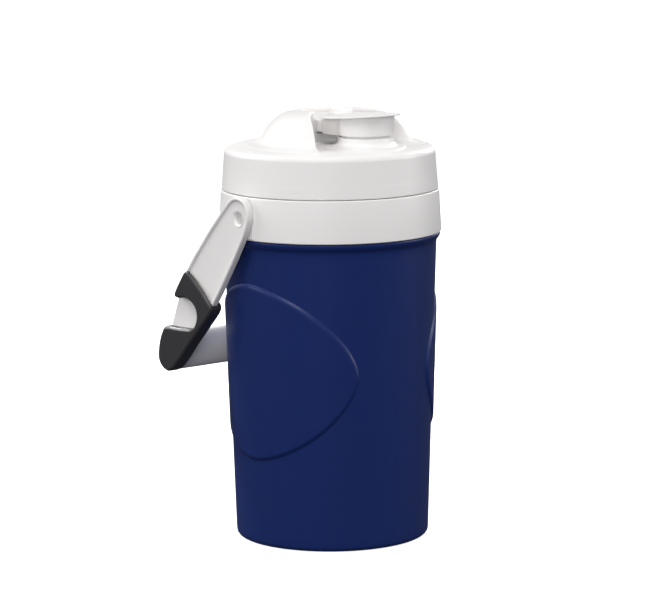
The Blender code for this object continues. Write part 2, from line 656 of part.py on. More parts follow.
def lid_shell():
    """The white lid: one hollow moulding with its spout, vent boss and inner thread."""
    lid = lid_core("lid_shell", 0.0, LID_BOTTOM, WHITE)
    tip = NECK_RADIUS + 0.6 * MM
    wall = LID_BOTTOM_RADIUS - LID_WALL
    ridge = thread(
        "lid_thread", wall + 0.4 * MM, tip - wall - 0.4 * MM,
        BAND_TOP + THREAD_START - THREAD_PITCH / 2 + THREAD_PITCH / 8,
        THREAD_LEAD_IN + radians(45.0), LID_THREAD_TURN,
    )
    # The ridge is taken out of the hollow's cutter, so that it stays on the wall.
    cut(lid, cut(lid_core("lid_hollow", LID_WALL, LID_BOTTOM - 5 * MM), ridge))
    join(lid, solid_turned("spout", spout_profile(), None, INNER_STEPS, SPOUT_Y))
    boss_top = CAP_BOTTOM - 0.8 * MM
    join(lid, cylinder("vent_boss", VENT_RADIUS + 1.0 * MM, DECK_TOP - MM, boss_top, None,
                       PIN_STEPS, VENT_Y))
    cut(
        lid,
        cylinder("spout_bore", SPOUT_BORE, DECK_TOP - 5 * MM, SPOUT_LIP_TOP + MM, None,
                 TUBE_STEPS, SPOUT_Y),
        cylinder("vent_bore", VENT_BORE, DECK_TOP - 5 * MM, boss_top + MM, None,
                 FINE_STEPS, VENT_Y),
        cross_cylinder("hinge_bore", HINGE_PIN_RADIUS + FIT_GAP, -14.6 * MM, 14.6 * MM,
                       HINGE_Y, HINGE_Z, FINE_STEPS),
    )
    return smooth(lid)


def lid_liner():
    """The lid's inner cup with the pouring tube."""
    rim = LID_TOP_RADIUS - LID_WALL - 1.6 * MM
    cup = NECK_RADIUS - NECK_WALL - 0.6 * MM
    floor = LINER_FLANGE_BOTTOM - LID_CUP_DEPTH
    profile = [
        (cup - LINER_WALL, LINER_FLANGE_TOP), (rim, LINER_FLANGE_TOP),
        (rim, LINER_FLANGE_BOTTOM), (cup, LINER_FLANGE_BOTTOM), (cup, floor + 1.5 * MM),
        (cup - 1.5 * MM, floor), (0.0, floor), (0.0, floor + LINER_WALL),
        (cup - LINER_WALL, floor + LINER_WALL),
    ]
    liner = turned("lid_liner", profile, WHITE, INNER_STEPS)
    tube = SPOUT_BORE - FIT_GAP
    join(liner, cylinder("pour_tube", tube, floor + MM, DECK_TOP + MM, None, TUBE_STEPS,
                         SPOUT_Y))
    cut(liner, cylinder("pour_bore", tube - TUBE_WALL, floor - MM, DECK_TOP + 2 * MM, None,
                        TUBE_STEPS, SPOUT_Y))
    return smooth(liner)


def lid_foam():
    """Insulation filling the lid's cup, its deck and its dome."""
    floor = LINER_FLANGE_TOP + FIT_GAP
    foam = lid_core("lid_foam", LID_WALL + FIT_GAP, LID_BOTTOM, FOAM)
    cut(foam, cylinder("below_foam", 2 * LID_BOTTOM_RADIUS, 0.0, floor))
    cup = NECK_RADIUS - NECK_WALL - 0.6 * MM - LINER_WALL - FIT_GAP
    low = LINER_FLANGE_BOTTOM - LID_CUP_DEPTH + LINER_WALL + FIT_GAP
    join(foam, cylinder("cup_fill", cup, low, floor + MM))
    cut(
        foam,
        cylinder("tube_room", SPOUT_BORE, low - MM, DECK_TOP, None, TUBE_STEPS,
                 SPOUT_Y),
        cylinder("vent_room", 3 * MM, low - MM, DECK_TOP, None, FINE_STEPS, VENT_Y),
    )
    return foam


def lid_gasket():
    """The ring between the mouth rim and the lid."""
    out = NECK_RADIUS - 0.2 * MM
    high = GASKET_BOTTOM + GASKET_THICKNESS
    bore = NECK_RADIUS - NECK_WALL + 0.2 * MM
    profile = [(bore, high), (out, high), (out, GASKET_BOTTOM), (bore, GASKET_BOTTOM)]
    return smooth(turned("lid_gasket", profile, SEAL, INNER_STEPS))


# ---------------------------------------------------------------- flip cap

def cap_plate_outline():
    """The top plate seen from above, about the spout: round, narrowing to the hinge."""
    radius = CAP_PLATE_RADIUS
    back = CAP_PLATE_BACK - SPOUT_Y
    half = [(CAP_ARM_HALF_WIDTH + MM, back), (0.68 * radius, back - 1.8 * MM),
            (0.92 * radius, back - 7.6 * MM)]
    for i in range(13):
        a = radians(16.0) * (1 - i / 12) - pi / 2 * i / 12
        half.append((radius * cos(a), radius * sin(a)))
    return half + [(-x, y) for x, y in reversed(half[:-1])]


def on_plate(made, lift=0.0):
    """Place a shape drawn on the plate's underside plane, raised by a little."""
    made.location = (0.0, SPOUT_Y, PLATE_BOTTOM + lift)
    made.rotation_euler.x = -CAP_TILT
    return made


def above_plate(name, lift):
    """A cutter for all that is above the plate's tilted plane."""
    size = 4 * CAP_PLATE_RADIUS
    mesh = bpy.data.meshes.new(name)
    shape = bmesh.new()
    place = Matrix.Translation((0.0, 0.0, size / 2)) @ Matrix.Scale(size, 4)
    bmesh.ops.create_cube(shape, size=1.0, matrix=place)
    shape.to_mesh(mesh)
    shape.free()
    return on_plate(new_object(name, mesh), lift)


def cap_plate():
    """The overhanging top plate, crowned along its middle."""
    mesh = bpy.data.meshes.new("cap_plate")
    shape = bmesh.new()
    ring = [shape.verts.new((x, y, 0.0)) for x, y in cap_plate_outline()]
    face = shape.faces.new(ring)
    bmesh.ops.recalc_face_normals(shape, faces=[face])
    if face.normal.z < 0:
        face.normal_flip()
    lifted = bmesh.ops.extrude_face_region(shape, geom=[face])["geom"]
    for vertex in (v for v in lifted if isinstance(v, bmesh.types.BMVert)):
        vertex.co.z += CAP_PLATE_THICKNESS
    top = max(shape.faces, key=lambda f: f.calc_center_median().z)
    bmesh.ops.inset_region(shape, faces=[top], thickness=CAP_CROWN_INSET,
                           use_even_offset=True)
    for vertex in top.verts:
        vertex.co.z += CAP_CROWN
    bmesh.ops.recalc_face_normals(shape, faces=shape.faces)
    shape.to_mesh(mesh)
    shape.free()
    return on_plate(new_object("cap_plate", mesh))


def spout_cap():
    """The flip cap: skirt over the spout lip, hollow arm, hinge barrel and top plate."""
    skirt_in = CAP_SKIRT_RADIUS - CAP_WALL
    top = PLATE_BOTTOM + CAP_CROWN_INSET
    arm_low = CAP_BOTTOM - 0.7 * MM
    cap = cylinder("spout_cap", CAP_SKIRT_RADIUS, CAP_BOTTOM, top, WHITE, INNER_STEPS, SPOUT_Y)
    half = CAP_ARM_HALF_WIDTH
    arm_front = SPOUT_Y + sqrt(CAP_SKIRT_RADIUS ** 2 - half ** 2) - 2 * MM
    join(cap, box("cap_arm", (-half, arm_front, arm_low), (half, CAP_PLATE_BACK - MM, top)))
    neck_top = HINGE_Z + HINGE_BARREL_RADIUS - 0.6 * MM
    join(cap, box("cap_neck", (-half, CAP_PLATE_BACK - 2 * MM, HINGE_Z - 3 * MM),
                  (half, HINGE_Y, neck_top)))
    join(cap, cross_cylinder("hinge_barrel", HINGE_BARREL_RADIUS, -half, half, HINGE_Y, HINGE_Z,
                             PIN_STEPS))
    cut(cap, above_plate("cap_top", 0.6 * CAP_PLATE_THICKNESS))
    join(cap, cap_plate())
    hollow = cylinder("cap_hollow", skirt_in, CAP_BOTTOM - 3 * MM, top + MM, None,
                      INNER_STEPS, SPOUT_Y)
    join(hollow, box("arm_hollow", (CAP_WALL - half, SPOUT_Y, arm_low - MM),
                     (half - CAP_WALL, CAP_PLATE_BACK - 2.4 * MM, top + 2 * MM)))
    cut(cap, cut(hollow, above_plate("hollow_top", 0.1 * MM)))
    cut(cap, cross_cylinder("pin_bore", HINGE_PIN_RADIUS + FIT_GAP, -20 * MM, 20 * MM,
                            HINGE_Y, HINGE_Z, FINE_STEPS))
    return smooth(cap)


def cap_seal():
    """The soft plug under the cap: a flange on the lip and a nose in the bore."""
    under = PLATE_BOTTOM + 2 * MM
    seat = SPOUT_LIP_TOP + FIT_GAP
    nose = SPOUT_BORE - 0.5 * MM
    profile = [
        (0.0, under), (CAP_SKIRT_RADIUS - CAP_WALL - 0.6 * MM, under),
        (CAP_SKIRT_RADIUS - CAP_WALL - 0.6 * MM, seat), (nose, seat),
        (nose - 0.6 * MM, seat - 4.0 * MM), (nose - 3 * MM, seat - 4.0 * MM),
        (nose - 3 * MM, seat), (0.0, seat),
    ]
    seal = solid_turned("cap_seal", profile, SEAL, TUBE_STEPS, SPOUT_Y)
    return smooth(cut(seal, above_plate("seal_top", -FIT_GAP)))


def cap_hinge_pin():
    """The pin that the cap's barrel turns on, held in the lid's cheeks."""
    reach = CAP_ARM_HALF_WIDTH + RUN_GAP + 1.7 * MM
    return smooth(cross_cylinder("cap_hinge_pin", HINGE_PIN_RADIUS, -reach, reach,
                                 HINGE_Y, HINGE_Z, FINE_STEPS, WHITE))


def vent_plug():
    """The soft post under the cap's arm that closes the air vent."""
    low = CAP_BOTTOM - 0.8 * MM + FIT_GAP
    plug = cylinder("vent_plug", VENT_RADIUS, low, PLATE_BOTTOM, SEAL, PIN_STEPS, VENT_Y)
    return smooth(cut(plug, above_plate("plug_top", -FIT_GAP)))


# ---------------------------------------------------------------- carry handle

def handle_axis():
    """The empty on the pivot line that tilts the handle to where it hangs."""
    axis = bpy.data.objects.new("handle_axis", None)
    PARTS.objects.link(axis)
    axis.location.z = PIVOT_HEIGHT
    axis.rotation_euler.x = HANG_ANGLE
    bpy.context.view_layer.update()
    return axis


def hung(made, axis):
    """Parent a handle piece and its cutters, drawn round the origin, to the pivot empty."""
    for piece in [made] + [step.object for step in made.modifiers]:
        piece.parent = axis
    return made


def below(line, depth):
    """The part of a closed line that lies below a depth under the pivot, closed straight."""
    kept = []
    count = len(line)
    for i in range(count):
        (y0, z0), (y1, z1) = line[i], line[(i + 1) % count]
        if z0 <= -depth:
            kept.append((y0, z0))
        if (z0 <= -depth) != (z1 <= -depth):
            share = (-depth - z0) / (z1 - z0)
            kept.append((y0 + share * (y1 - y0), -depth))
    return kept


def bar_outline():
    """The oval section of the cross bar, as (y, z) from the pivot."""
    line = []
    for i in range(28):
        a = 2 * pi * i / 28
        y, z = BAR_HALF_WIDTH * cos(a), BAR_HALF_LENGTH * sin(a)
        line.append((
            BAR_OFFSET + y * cos(BAR_TILT) + z * sin(BAR_TILT),
            -BAR_DROP - y * sin(BAR_TILT) + z * cos(BAR_TILT),
        ))
    return line


def carry_handle(axis):
    """The white bail: two flat arms with a raised rim, joined by an oval bar."""
    arm = rounded(ARM_OUTLINE)
    bar = slab("carry_handle", bar_outline(), -ARM_INNER - MM, ARM_INNER + MM, WHITE)
    for side in (-1, 1):
        plate = sorted((side * ARM_INNER, side * ARM_OUTER))
        join(bar, slab("arm_plate", arm, *plate))
        floor = sorted((side * (ARM_OUTER - ARM_RECESS), side * BEYOND))
        cut(bar, slab("arm_recess", inset(arm, ARM_RIM), *floor))
        web = sorted((side * (ARM_INNER + WEB_THICKNESS), side * BEYOND))
        cut(bar, slab("web_room", below(inset(arm, -5 * MM), WEB_START), *web))
        seat = sorted((side * PIN_SEAT, side * BEYOND))
        cut(bar, cross_cylinder("pin_seat", PIN_HEAD_RADIUS + FIT_GAP, *seat, 0.0, 0.0,
                                PIN_STEPS))
    cut(bar, cross_cylinder("pin_eye", EYE_RADIUS, -BEYOND, BEYOND, 0.0, 0.0, PIN_STEPS))
    return hung(smooth(bar), axis)


def hook_clip(name, side, axis):
    """The dark fence-hook clip that wraps the front edge of one arm."""
    arm = rounded(ARM_OUTLINE)
    leg_in = ARM_INNER - FIT_GAP - CLIP_LEG
    room_in = ARM_INNER - FIT_GAP
    room_out = ARM_INNER + WEB_THICKNESS + FIT_GAP
    plate_out = ARM_OUTER + FIT_GAP
    front = min(y for y, z in arm) - 1.5 * FIT_GAP
    outline = rounded(CLIP_OUTLINE, 2)
    clip = slab(name, outline, *sorted((side * leg_in, side * (ARM_OUTER + CLIP_PROUD))), GREY)
    plate = sorted((side * (room_in - 0.3 * FIT_GAP), side * plate_out))
    leg = sorted((side * (leg_in - MM), side * (room_in + 0.5 * FIT_GAP)))
    cut(
        clip,
        slab("web_slot", inset(arm, -FIT_GAP), *sorted((side * room_in, side * room_out))),
        box("plate_room", (plate[0], front, -WEB_START - FIT_GAP), (plate[1], 0.1, 0.0)),
        slab("bar_room", inset(bar_outline(), -FIT_GAP),
             *sorted((0.0, side * (ARM_INNER + MM + FIT_GAP)))),
        box("leg_trim", (leg[0], CLIP_LEG_EDGE, -0.14), (leg[1], 0.1, 0.0)),
    )
    return hung(smooth(clip), axis)


def build():
    """Make every piece of the jug."""
    outer_body()
    base_plug()
    body_foam()
    inner_liner()
    neck_collar()
    pivot_pin("pivot_pin_left", -1)
    pivot_pin("pivot_pin_right", 1)
    lid_shell()
    lid_liner()
    lid_foam()
    lid_gasket()
    spout_cap()
    cap_seal()
    cap_hinge_pin()
    vent_plug()
    axis = handle_axis()
    carry_handle(axis)
    hook_clip("hook_clip_left", -1, axis)
    hook_clip("hook_clip_right", 1, axis)


build()
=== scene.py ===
"""Looks of an insulated water jug: blue body, white lid with a flip cap, carry handle.

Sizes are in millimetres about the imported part's own frame: the origin is the middle of
the standing face, +Z is up, X is the handle's pivot line and -Y is the pouring side.
"""

from __future__ import annotations

import json  # noqa: E402
import logging  # noqa: E402
import math  # noqa: E402
from dataclasses import dataclass, field  # noqa: E402
from enum import Enum  # noqa: E402
from typing import Any, Callable, Sequence  # noqa: E402

import bpy  # noqa: E402
import numpy as np  # noqa: E402
from mathutils import Matrix, Vector  # noqa: E402

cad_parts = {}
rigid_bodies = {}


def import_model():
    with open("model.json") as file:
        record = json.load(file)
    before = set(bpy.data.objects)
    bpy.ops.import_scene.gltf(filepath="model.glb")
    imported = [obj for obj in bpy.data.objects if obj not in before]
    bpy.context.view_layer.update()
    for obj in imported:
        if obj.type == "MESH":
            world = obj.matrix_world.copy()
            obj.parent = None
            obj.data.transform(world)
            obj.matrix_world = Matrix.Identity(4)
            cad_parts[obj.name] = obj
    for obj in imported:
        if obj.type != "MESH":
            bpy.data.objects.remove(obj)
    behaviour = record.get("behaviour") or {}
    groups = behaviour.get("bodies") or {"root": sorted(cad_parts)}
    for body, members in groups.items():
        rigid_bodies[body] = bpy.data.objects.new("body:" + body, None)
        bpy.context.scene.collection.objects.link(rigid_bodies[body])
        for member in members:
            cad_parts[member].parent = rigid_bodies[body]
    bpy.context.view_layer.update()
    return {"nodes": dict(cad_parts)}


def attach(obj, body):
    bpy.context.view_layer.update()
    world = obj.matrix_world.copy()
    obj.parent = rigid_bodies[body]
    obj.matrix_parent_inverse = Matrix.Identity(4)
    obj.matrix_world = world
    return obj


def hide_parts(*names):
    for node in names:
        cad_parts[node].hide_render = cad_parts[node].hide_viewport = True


LOG = logging.getLogger("jug")
MM = 0.001
Array = np.ndarray
Field = Callable[[Array], Array]
Line = Sequence[tuple[float, float]]


class Body(Enum):
    """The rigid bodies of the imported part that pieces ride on."""

    JUG = "jug"
    LID = "lid"
    SEAL = "lid_seal"
    CAP = "cap"
    HANDLE = "handle"


class Side(Enum):
    """The two sides of the jug: left is -X and right is +X."""

    LEFT = -1
    RIGHT = 1


# ------------------------------------------------------------------ blending of forms


def soft_union(a: Array, b: Array, width: float) -> Array:
    """Join two distance fields with a fillet.

    Args:
        a: Distances to the first form.
        b: Distances to the second form.
        width: How far the fillet reaches, in millimetres.

    Returns:
        Distances to the joined form.
    """
    share = np.clip(0.5 + 0.5 * (b - a) / width, 0.0, 1.0)
    return b + (a - b) * share - width * share * (1.0 - share)


def soft_cut(a: Array, b: Array, width: float) -> Array:
    """Take form b out of form a with softened edges.

    Args:
        a: Distances to the form that stays.
        b: Distances to the form that is taken out.
        width: How far the softening reaches.

    Returns:
        Distances to what is left.
    """
    return -soft_union(-a, b, width)


def rounded_meet(a: Array, b: Array, radius: float | Array) -> Array:
    """The space inside both forms, with its edge rounded to a true radius.

    Args:
        a: Distances to the first form.
        b: Distances to the second form.
        radius: Edge radius, one number or one per point.

    Returns:
        Distances to the rounded meeting of the two.
    """
    u, v = a + radius, b + radius
    return np.minimum(np.maximum(u, v), 0.0) + np.hypot(np.maximum(u, 0.0), np.maximum(v, 0.0)) - radius


def ramp(value: Array, low: float, high: float) -> Array:
    """A smooth step from 0 at low to 1 at high."""
    t = np.clip((value - low) / (high - low), 0.0, 1.0)
    return t * t * (3.0 - 2.0 * t)


def slab(value: Array, low: float, high: float) -> Array:
    """Distance to the layer between two limits along one direction."""
    return np.maximum(low - value, value - high)


def spline_between(four: Sequence[Array], steps: int) -> list[tuple[float, float]]:
    """Points of a smooth line from the second of four points to the third.

    Args:
        four: The point before, the two ends and the point after.
        steps: How many points are made, the first end among them.

    Returns:
        The points, without the last end.
    """
    a, b, c, d = four
    line = []
    for step in range(steps):
        t = step / steps
        at = 0.5 * (
            2 * b + (c - a) * t + (2 * a - 5 * b + 4 * c - d) * t * t + (3 * b - 3 * c + d - a) * t**3
        )
        line.append((float(at[0]), float(at[1])))
    return line


def spline_loop(points: Line, steps: int) -> list[tuple[float, float]]:
    """A smooth closed line through points whose second number counts downwards.

    Args:
        points: Corner points, in order.
        steps: Points made for each stretch.

    Returns:
        The closed line, with its second number counting upwards.
    """
    line: list[tuple[float, float]] = []
    count = len(points)
    for i in range(count):
        line += spline_between([np.array(points[(i + k) % count], float) for k in (-1, 0, 1, 2)], steps)
    return [(u, -v) for u, v in line]


def spline_open(points: Line, steps: int) -> list[tuple[float, float]]:
    """A smooth open line through points, ends included.

    Args:
        points: Corner points, in order.
        steps: Points made for each stretch.

    Returns:
        The open line.
    """
    ends = [np.array(point, float) for point in (points[0], *points, points[-1])]
    line: list[tuple[float, float]] = []
    for i in range(len(points) - 1):
        line += spline_between(ends[i : i + 4], steps)
    return [*line, (float(points[-1][0]), float(points[-1][1]))]


def filleted(
    corners: Sequence[tuple[float, float, float]], steps: int = 5
) -> list[tuple[float, float]]:
    """A closed profile whose corners carry fillets.

    Args:
        corners: (radius, height, fillet) for each corner, in order.
        steps: Flats on each fillet.

    Returns:
        The profile as (radius, height) points.
    """
    line: list[tuple[float, float]] = []
    count = len(corners)
    for i in range(count):
        before, here, after = (np.array(corners[(i + k) % count][:2]) for k in (-1, 0, 1))
        size = corners[i][2]
        if size <= 0.0:
            line.append((float(here[0]), float(here[1])))
            continue
        one, two = before - here, after - here
        lengths = np.linalg.norm(one), np.linalg.norm(two)
        one, two = one / lengths[0], two / lengths[1]
        half = math.acos(float(np.clip(one @ two, -1.0, 1.0))) / 2
        reach = min(size / math.tan(half), 0.49 * lengths[0], 0.49 * lengths[1])
        start, end = here + one * reach, here + two * reach
        for step in range(steps + 1):
            t = step / steps
            at = (1 - t) ** 2 * start + 2 * t * (1 - t) * here + t * t * end
            line.append((float(at[0]), float(at[1])))
    return line


@dataclass(frozen=True)
class Outline:
    """A closed flat line that answers how far points lie outside it."""

    points: tuple[tuple[float, float], ...]

    def distance(self, u: Array, v: Array) -> Array:
        """Signed distances, negative inside.

        Args:
            u: First coordinates.
            v: Second coordinates.

        Returns:
            One distance per point.
        """
        nearest = np.full(u.shape, np.inf)
        inside = np.zeros(u.shape, bool)
        following = self.points[1:] + self.points[:1]
        for (x0, y0), (x1, y1) in zip(self.points, following):
            ex, ey = x1 - x0, y1 - y0
            length = ex * ex + ey * ey
            if length < 1e-12:
                continue
            wx, wy = u - x0, v - y0
            t = np.clip((wx * ex + wy * ey) / length, 0.0, 1.0)
            nearest = np.minimum(nearest, (wx - t * ex) ** 2 + (wy - t * ey) ** 2)
            if ey != 0.0:
                inside ^= ((y0 > v) != (y1 > v)) & (u < ex * wy / ey + x0)
        return np.where(inside, -1.0, 1.0) * np.sqrt(nearest)


# ------------------------------------------------------------------ meshes


@dataclass
class Mesh:
    """Points in millimetres with the faces between them."""

    points: Array
    faces: list[Array]
    normals: Array | None = None

    def moved(self, place: Matrix) -> Mesh:
        """The mesh moved by a matrix.

        Args:
            place: A turn and a shift, in millimetres.

        Returns:
            The moved mesh.
        """
        turn = np.array(place.to_3x3())
        shift = np.array(place.translation)
        normals = None if self.normals is None else self.normals @ turn.T
        return Mesh(self.points @ turn.T + shift, self.faces, normals)

    def mirrored(self) -> Mesh:
        """Reflect the mesh from right to left.

        Returns:
            The mesh of the other side.
        """
        flip = np.array([-1.0, 1.0, 1.0])
        normals = None if self.normals is None else self.normals * flip
        return Mesh(self.points * flip, [f[:, ::-1] for f in self.faces], normals)

    def joined(self, *others: Mesh) -> Mesh:
        """This mesh and others as one, each shell kept whole.

        Args:
            others: The meshes to add.

        Returns:
            One mesh.
        """
        points, faces, start = [self.points], list(self.faces), len(self.points)
        for other in others:
            points.append(other.points)
            faces += [f + start for f in other.faces]
            start += len(other.points)
        return Mesh(np.concatenate(points), faces)

    def object(self, name: str, body: Body, stands_for: str, slot: str) -> bpy.types.Object:
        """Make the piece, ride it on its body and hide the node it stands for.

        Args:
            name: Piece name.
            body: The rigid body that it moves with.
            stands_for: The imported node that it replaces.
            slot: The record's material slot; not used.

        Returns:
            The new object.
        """
        data = bpy.data.meshes.new(name)
        faces = [row for block in self.faces for row in block.tolist()]
        data.from_pydata((self.points * MM).tolist(), [], faces)
        data.shade_smooth()
        if self.normals is not None:
            data.normals_split_custom_set_from_vertices(self.normals.tolist())
        made = bpy.data.objects.new(name, data)
        bpy.context.scene.collection.objects.link(made)
        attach(made, body.value)
        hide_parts(stands_for)
        LOG.info("%s: %d points", name, len(self.points))
        return made


def lathe(profile: Line, flats: int, closed: bool = True) -> Mesh:
    """Turn a profile about an upright axis.

    Args:
        profile: (radius, height) points, outer side from top to bottom.
        flats: Steps round the axis.
        closed: Whether the profile's ends meet.

    Returns:
        The turned mesh, with points on the axis merged.
    """
    rows = np.array(profile, float)
    angles = np.arange(flats) * 2 * math.pi / flats
    count = len(rows)
    points = np.stack(
        [
            np.outer(rows[:, 0], np.cos(angles)),
            np.outer(rows[:, 0], np.sin(angles)),
            np.repeat(rows[:, 1:2], flats, axis=1),
        ],
        axis=-1,
    ).reshape(-1, 3)
    quads: list[list[int]] = []
    tris: list[list[int]] = []
    for i in range(count if closed else count - 1):
        j = (i + 1) % count
        for k in range(flats):
            m = (k + 1) % flats
            a, b, c, d = i * flats + k, j * flats + k, j * flats + m, i * flats + m
            if rows[i, 0] < 1e-6 and rows[j, 0] < 1e-6:
                continue
            if rows[i, 0] < 1e-6:
                tris.append([i * flats, b, c])
            elif rows[j, 0] < 1e-6:
                tris.append([a, j * flats, d])
            else:
                quads.append([a, b, c, d])
    faces = [np.array(block) for block in (quads, tris) if block]
    used = np.unique(np.concatenate([f.ravel() for f in faces]))
    order = np.full(len(points), -1)
    order[used] = np.arange(len(used))
    return Mesh(points[used], [order[f] for f in faces])


@dataclass
class Moulder:
    """Makes an even mesh of quads on the surface where a distance field is zero."""

    low: tuple[float, float, float]
    high: tuple[float, float, float]
    step: float
    block: int = 6

    def _grid(self, shape: Array, spacing: float, start: Array) -> Array:
        """All points of a regular grid, as rows."""
        axes = [start[i] + spacing * np.arange(shape[i]) for i in range(3)]
        return np.stack(np.meshgrid(*axes, indexing="ij"), axis=-1).reshape(-1, 3)

    def _values(self, form: Field, shape: Array) -> Array:
        """Field values on the grid, worked out only near the surface.

        Args:
            form: Distances to the form.
            shape: Grid points along each axis.

        Returns:
            One value per grid point; far ones only carry the sign.
        """
        low = np.array(self.low)
        coarse = -(-shape // self.block)
        reach = self.step * self.block
        centres = self._grid(coarse, reach, low + (reach - self.step) / 2)
        rough = form(centres).reshape(coarse)
        for axis in range(3):
            rough = np.repeat(rough, self.block, axis=axis)
        rough = rough[: shape[0], : shape[1], : shape[2]]
        near = np.abs(rough) < 1.25 * reach
        values = np.where(rough < 0, -reach, reach).astype(float)
        index = np.argwhere(near)
        values[near] = form(low + self.step * index)
        return values

    def _slope(self, form: Field, at: Array) -> tuple[Array, Array]:
        """Field value and gradient at points, from four samples round each.

        Args:
            form: Distances to the form.
            at: Points, as rows.

        Returns:
            The values and the gradients.
        """
        reach = 0.06
        corners = np.array([[1, -1, -1], [-1, -1, 1], [-1, 1, -1], [1, 1, 1]], float)
        samples = np.stack([form(at + reach * c) for c in corners])
        gradient = np.einsum("ij,ik->jk", samples, corners) / (4 * reach)
        return samples.mean(axis=0), gradient

    def _settle(self, form: Field, at: Array) -> Array:
        """Pull points onto the surface along its gradient.

        Args:
            form: Distances to the form.
            at: Points, as rows.

        Returns:
            The moved points.
        """
        value, gradient = self._slope(form, at)
        square = np.maximum((gradient**2).sum(axis=1), 0.05)
        shift = -(value / square)[:, None] * gradient
        size = np.linalg.norm(shift, axis=1)
        return at + shift * np.minimum(1.0, 0.6 * self.step / np.maximum(size, 1e-9))[:, None]

    def mould(self, form: Field) -> Mesh:
        """Mesh a form.

        Args:
            form: Distances to the form for rows of points.

        Returns:
            A closed mesh with the field's own normals.
        """
        low = np.array(self.low)
        shape = np.ceil((np.array(self.high) - low) / self.step).astype(int) + 1
        values = self._values(form, shape)
        inside = values < 0
        ends = [slice(None, -1), slice(1, None)]
        pairs = (0, 1)
        total = sum(
            inside[ends[i], ends[j], ends[k]].astype(np.int8) for i in pairs for j in pairs for k in pairs
        )
        mixed = (total > 0) & (total < 8)
        number = np.full(mixed.shape, -1)
        cells = np.argwhere(mixed)
        number[mixed] = np.arange(len(cells))
        place, hits = np.zeros(cells.shape), np.zeros(len(cells))
        for axis in range(3):
            along = np.eye(3, dtype=int)[axis]
            across = [np.eye(3, dtype=int)[(axis + k) % 3] for k in (1, 2)]
            for i in (0, 1):
                for j in (0, 1):
                    start = cells + i * across[0] + j * across[1]
                    one, two = values[tuple(start.T)], values[tuple((start + along).T)]
                    hit = (one < 0) != (two < 0)
                    share = np.where(hit, one / np.where(hit, one - two, 1.0), 0.0)
                    place += hit[:, None] * (start - cells + share[:, None] * along)
                    hits += hit
        points = low + self.step * (cells + place / hits[:, None])
        quads = []
        for axis in range(3):
            pick = [slice(None)] * 3
            other = [slice(None)] * 3
            pick[axis], other[axis] = slice(None, -1), slice(1, None)
            edges = np.argwhere(inside[tuple(pick)] != inside[tuple(other)])
            u, v = np.eye(3, dtype=int)[(axis + 1) % 3], np.eye(3, dtype=int)[(axis + 2) % 3]
            ring = [edges - u - v, edges - v, edges, edges - u]
            rows = np.stack([number[tuple(c.T)] for c in ring], axis=1)
            turned = ~inside[tuple(edges.T)]
            rows[turned] = rows[turned][:, ::-1]
            quads.append(rows[(rows >= 0).all(axis=1)])
        faces = np.concatenate(quads)
        pairs = np.concatenate([faces[:, [k, (k + 1) % 4]] for k in range(4)])
        points = self._settle(form, points)
        for _ in range(2):
            mean = np.zeros(points.shape)
            weight = np.bincount(pairs[:, 0], minlength=len(points)).astype(float)
            for axis in range(3):
                summed = np.bincount(pairs[:, 0], points[pairs[:, 1], axis], len(points))
                mean[:, axis] = summed / weight
            points = self._settle(form, 0.5 * points + 0.5 * mean)
        points = self._settle(form, self._settle(form, points))
        _, gradient = self._slope(form, points)
        normals = gradient / np.maximum(np.linalg.norm(gradient, axis=1), 1e-9)[:, None]
        return Mesh(points, [faces], normals)


# ------------------------------------------------------------------ shader nodes


class Value:
    """A number that varies over a surface, written as arithmetic."""

    def __init__(self, nodes: Nodes, socket: bpy.types.NodeSocket) -> None:
        """Hold a node socket and the tree that it belongs to."""
        self.nodes = nodes
        self.socket = socket

    def _math(self, operation: str, one: Any, two: Any) -> Value:
        """Add one Math node."""
        made = self.nodes.add("ShaderNodeMath", {"operation": operation}, {0: one, 1: two})
        return Value(self.nodes, made.outputs[0])

    def __add__(self, other: Any) -> Value:
        """self + other."""
        return self._math("ADD", self, other)

    __radd__ = __add__

    def __sub__(self, other: Any) -> Value:
        """self - other."""
        return self._math("SUBTRACT", self, other)

    def __rsub__(self, other: Any) -> Value:
        """other - self."""
        return self._math("SUBTRACT", other, self)

    def __mul__(self, other: Any) -> Value:
        """self * other."""
        return self._math("MULTIPLY", self, other)

    __rmul__ = __mul__


class Nodes:
    """A node tree with one way to add a node."""

    def __init__(self, tree: bpy.types.NodeTree) -> None:
        """Wrap a tree and empty it."""
        self.tree = tree
        tree.nodes.clear()

    def add(
        self, kind: str, settings: dict[str, Any] | None = None, inputs: dict[Any, Any] | None = None
    ) -> bpy.types.Node:
        """Add a node.

        Args:
            kind: The node's type name.
            settings: Properties that are set first; "stops" fills a colour ramp.
            inputs: Values or links for its sockets, by name or number.

        Returns:
            The node.
        """
        node = self.tree.nodes.new(kind)
        for name, value in (settings or {}).items():
            if name == "stops":
                while len(node.color_ramp.elements) > 1:
                    node.color_ramp.elements.remove(node.color_ramp.elements[-1])
                for i, (place, colour) in enumerate(value):
                    stop = node.color_ramp.elements[0] if i == 0 else node.color_ramp.elements.new(place)
                    stop.position, stop.color = place, colour
            else:
                setattr(node, name, value)
        for name, value in (inputs or {}).items():
            if isinstance(value, Value):
                value = value.socket
            if isinstance(value, bpy.types.NodeSocket):
                self.tree.links.new(value, node.inputs[name])
            else:
                node.inputs[name].default_value = value
        return node

    def noise(self, place: bpy.types.NodeSocket, scale: float, detail: float = 2.0) -> Value:
        """Even noise from 0 to 1 over a surface.

        Args:
            place: Where it is read.
            scale: Cells in a metre.
            detail: Layers of finer noise.

        Returns:
            The noise as a value.
        """
        made = self.add(
            "ShaderNodeTexNoise",
            {"noise_dimensions": "3D"},
            {"Vector": place, "Scale": scale, "Detail": detail, "Roughness": 0.55},
        )
        return Value(self, made.outputs["Fac"])


Colour = tuple[float, float, float]


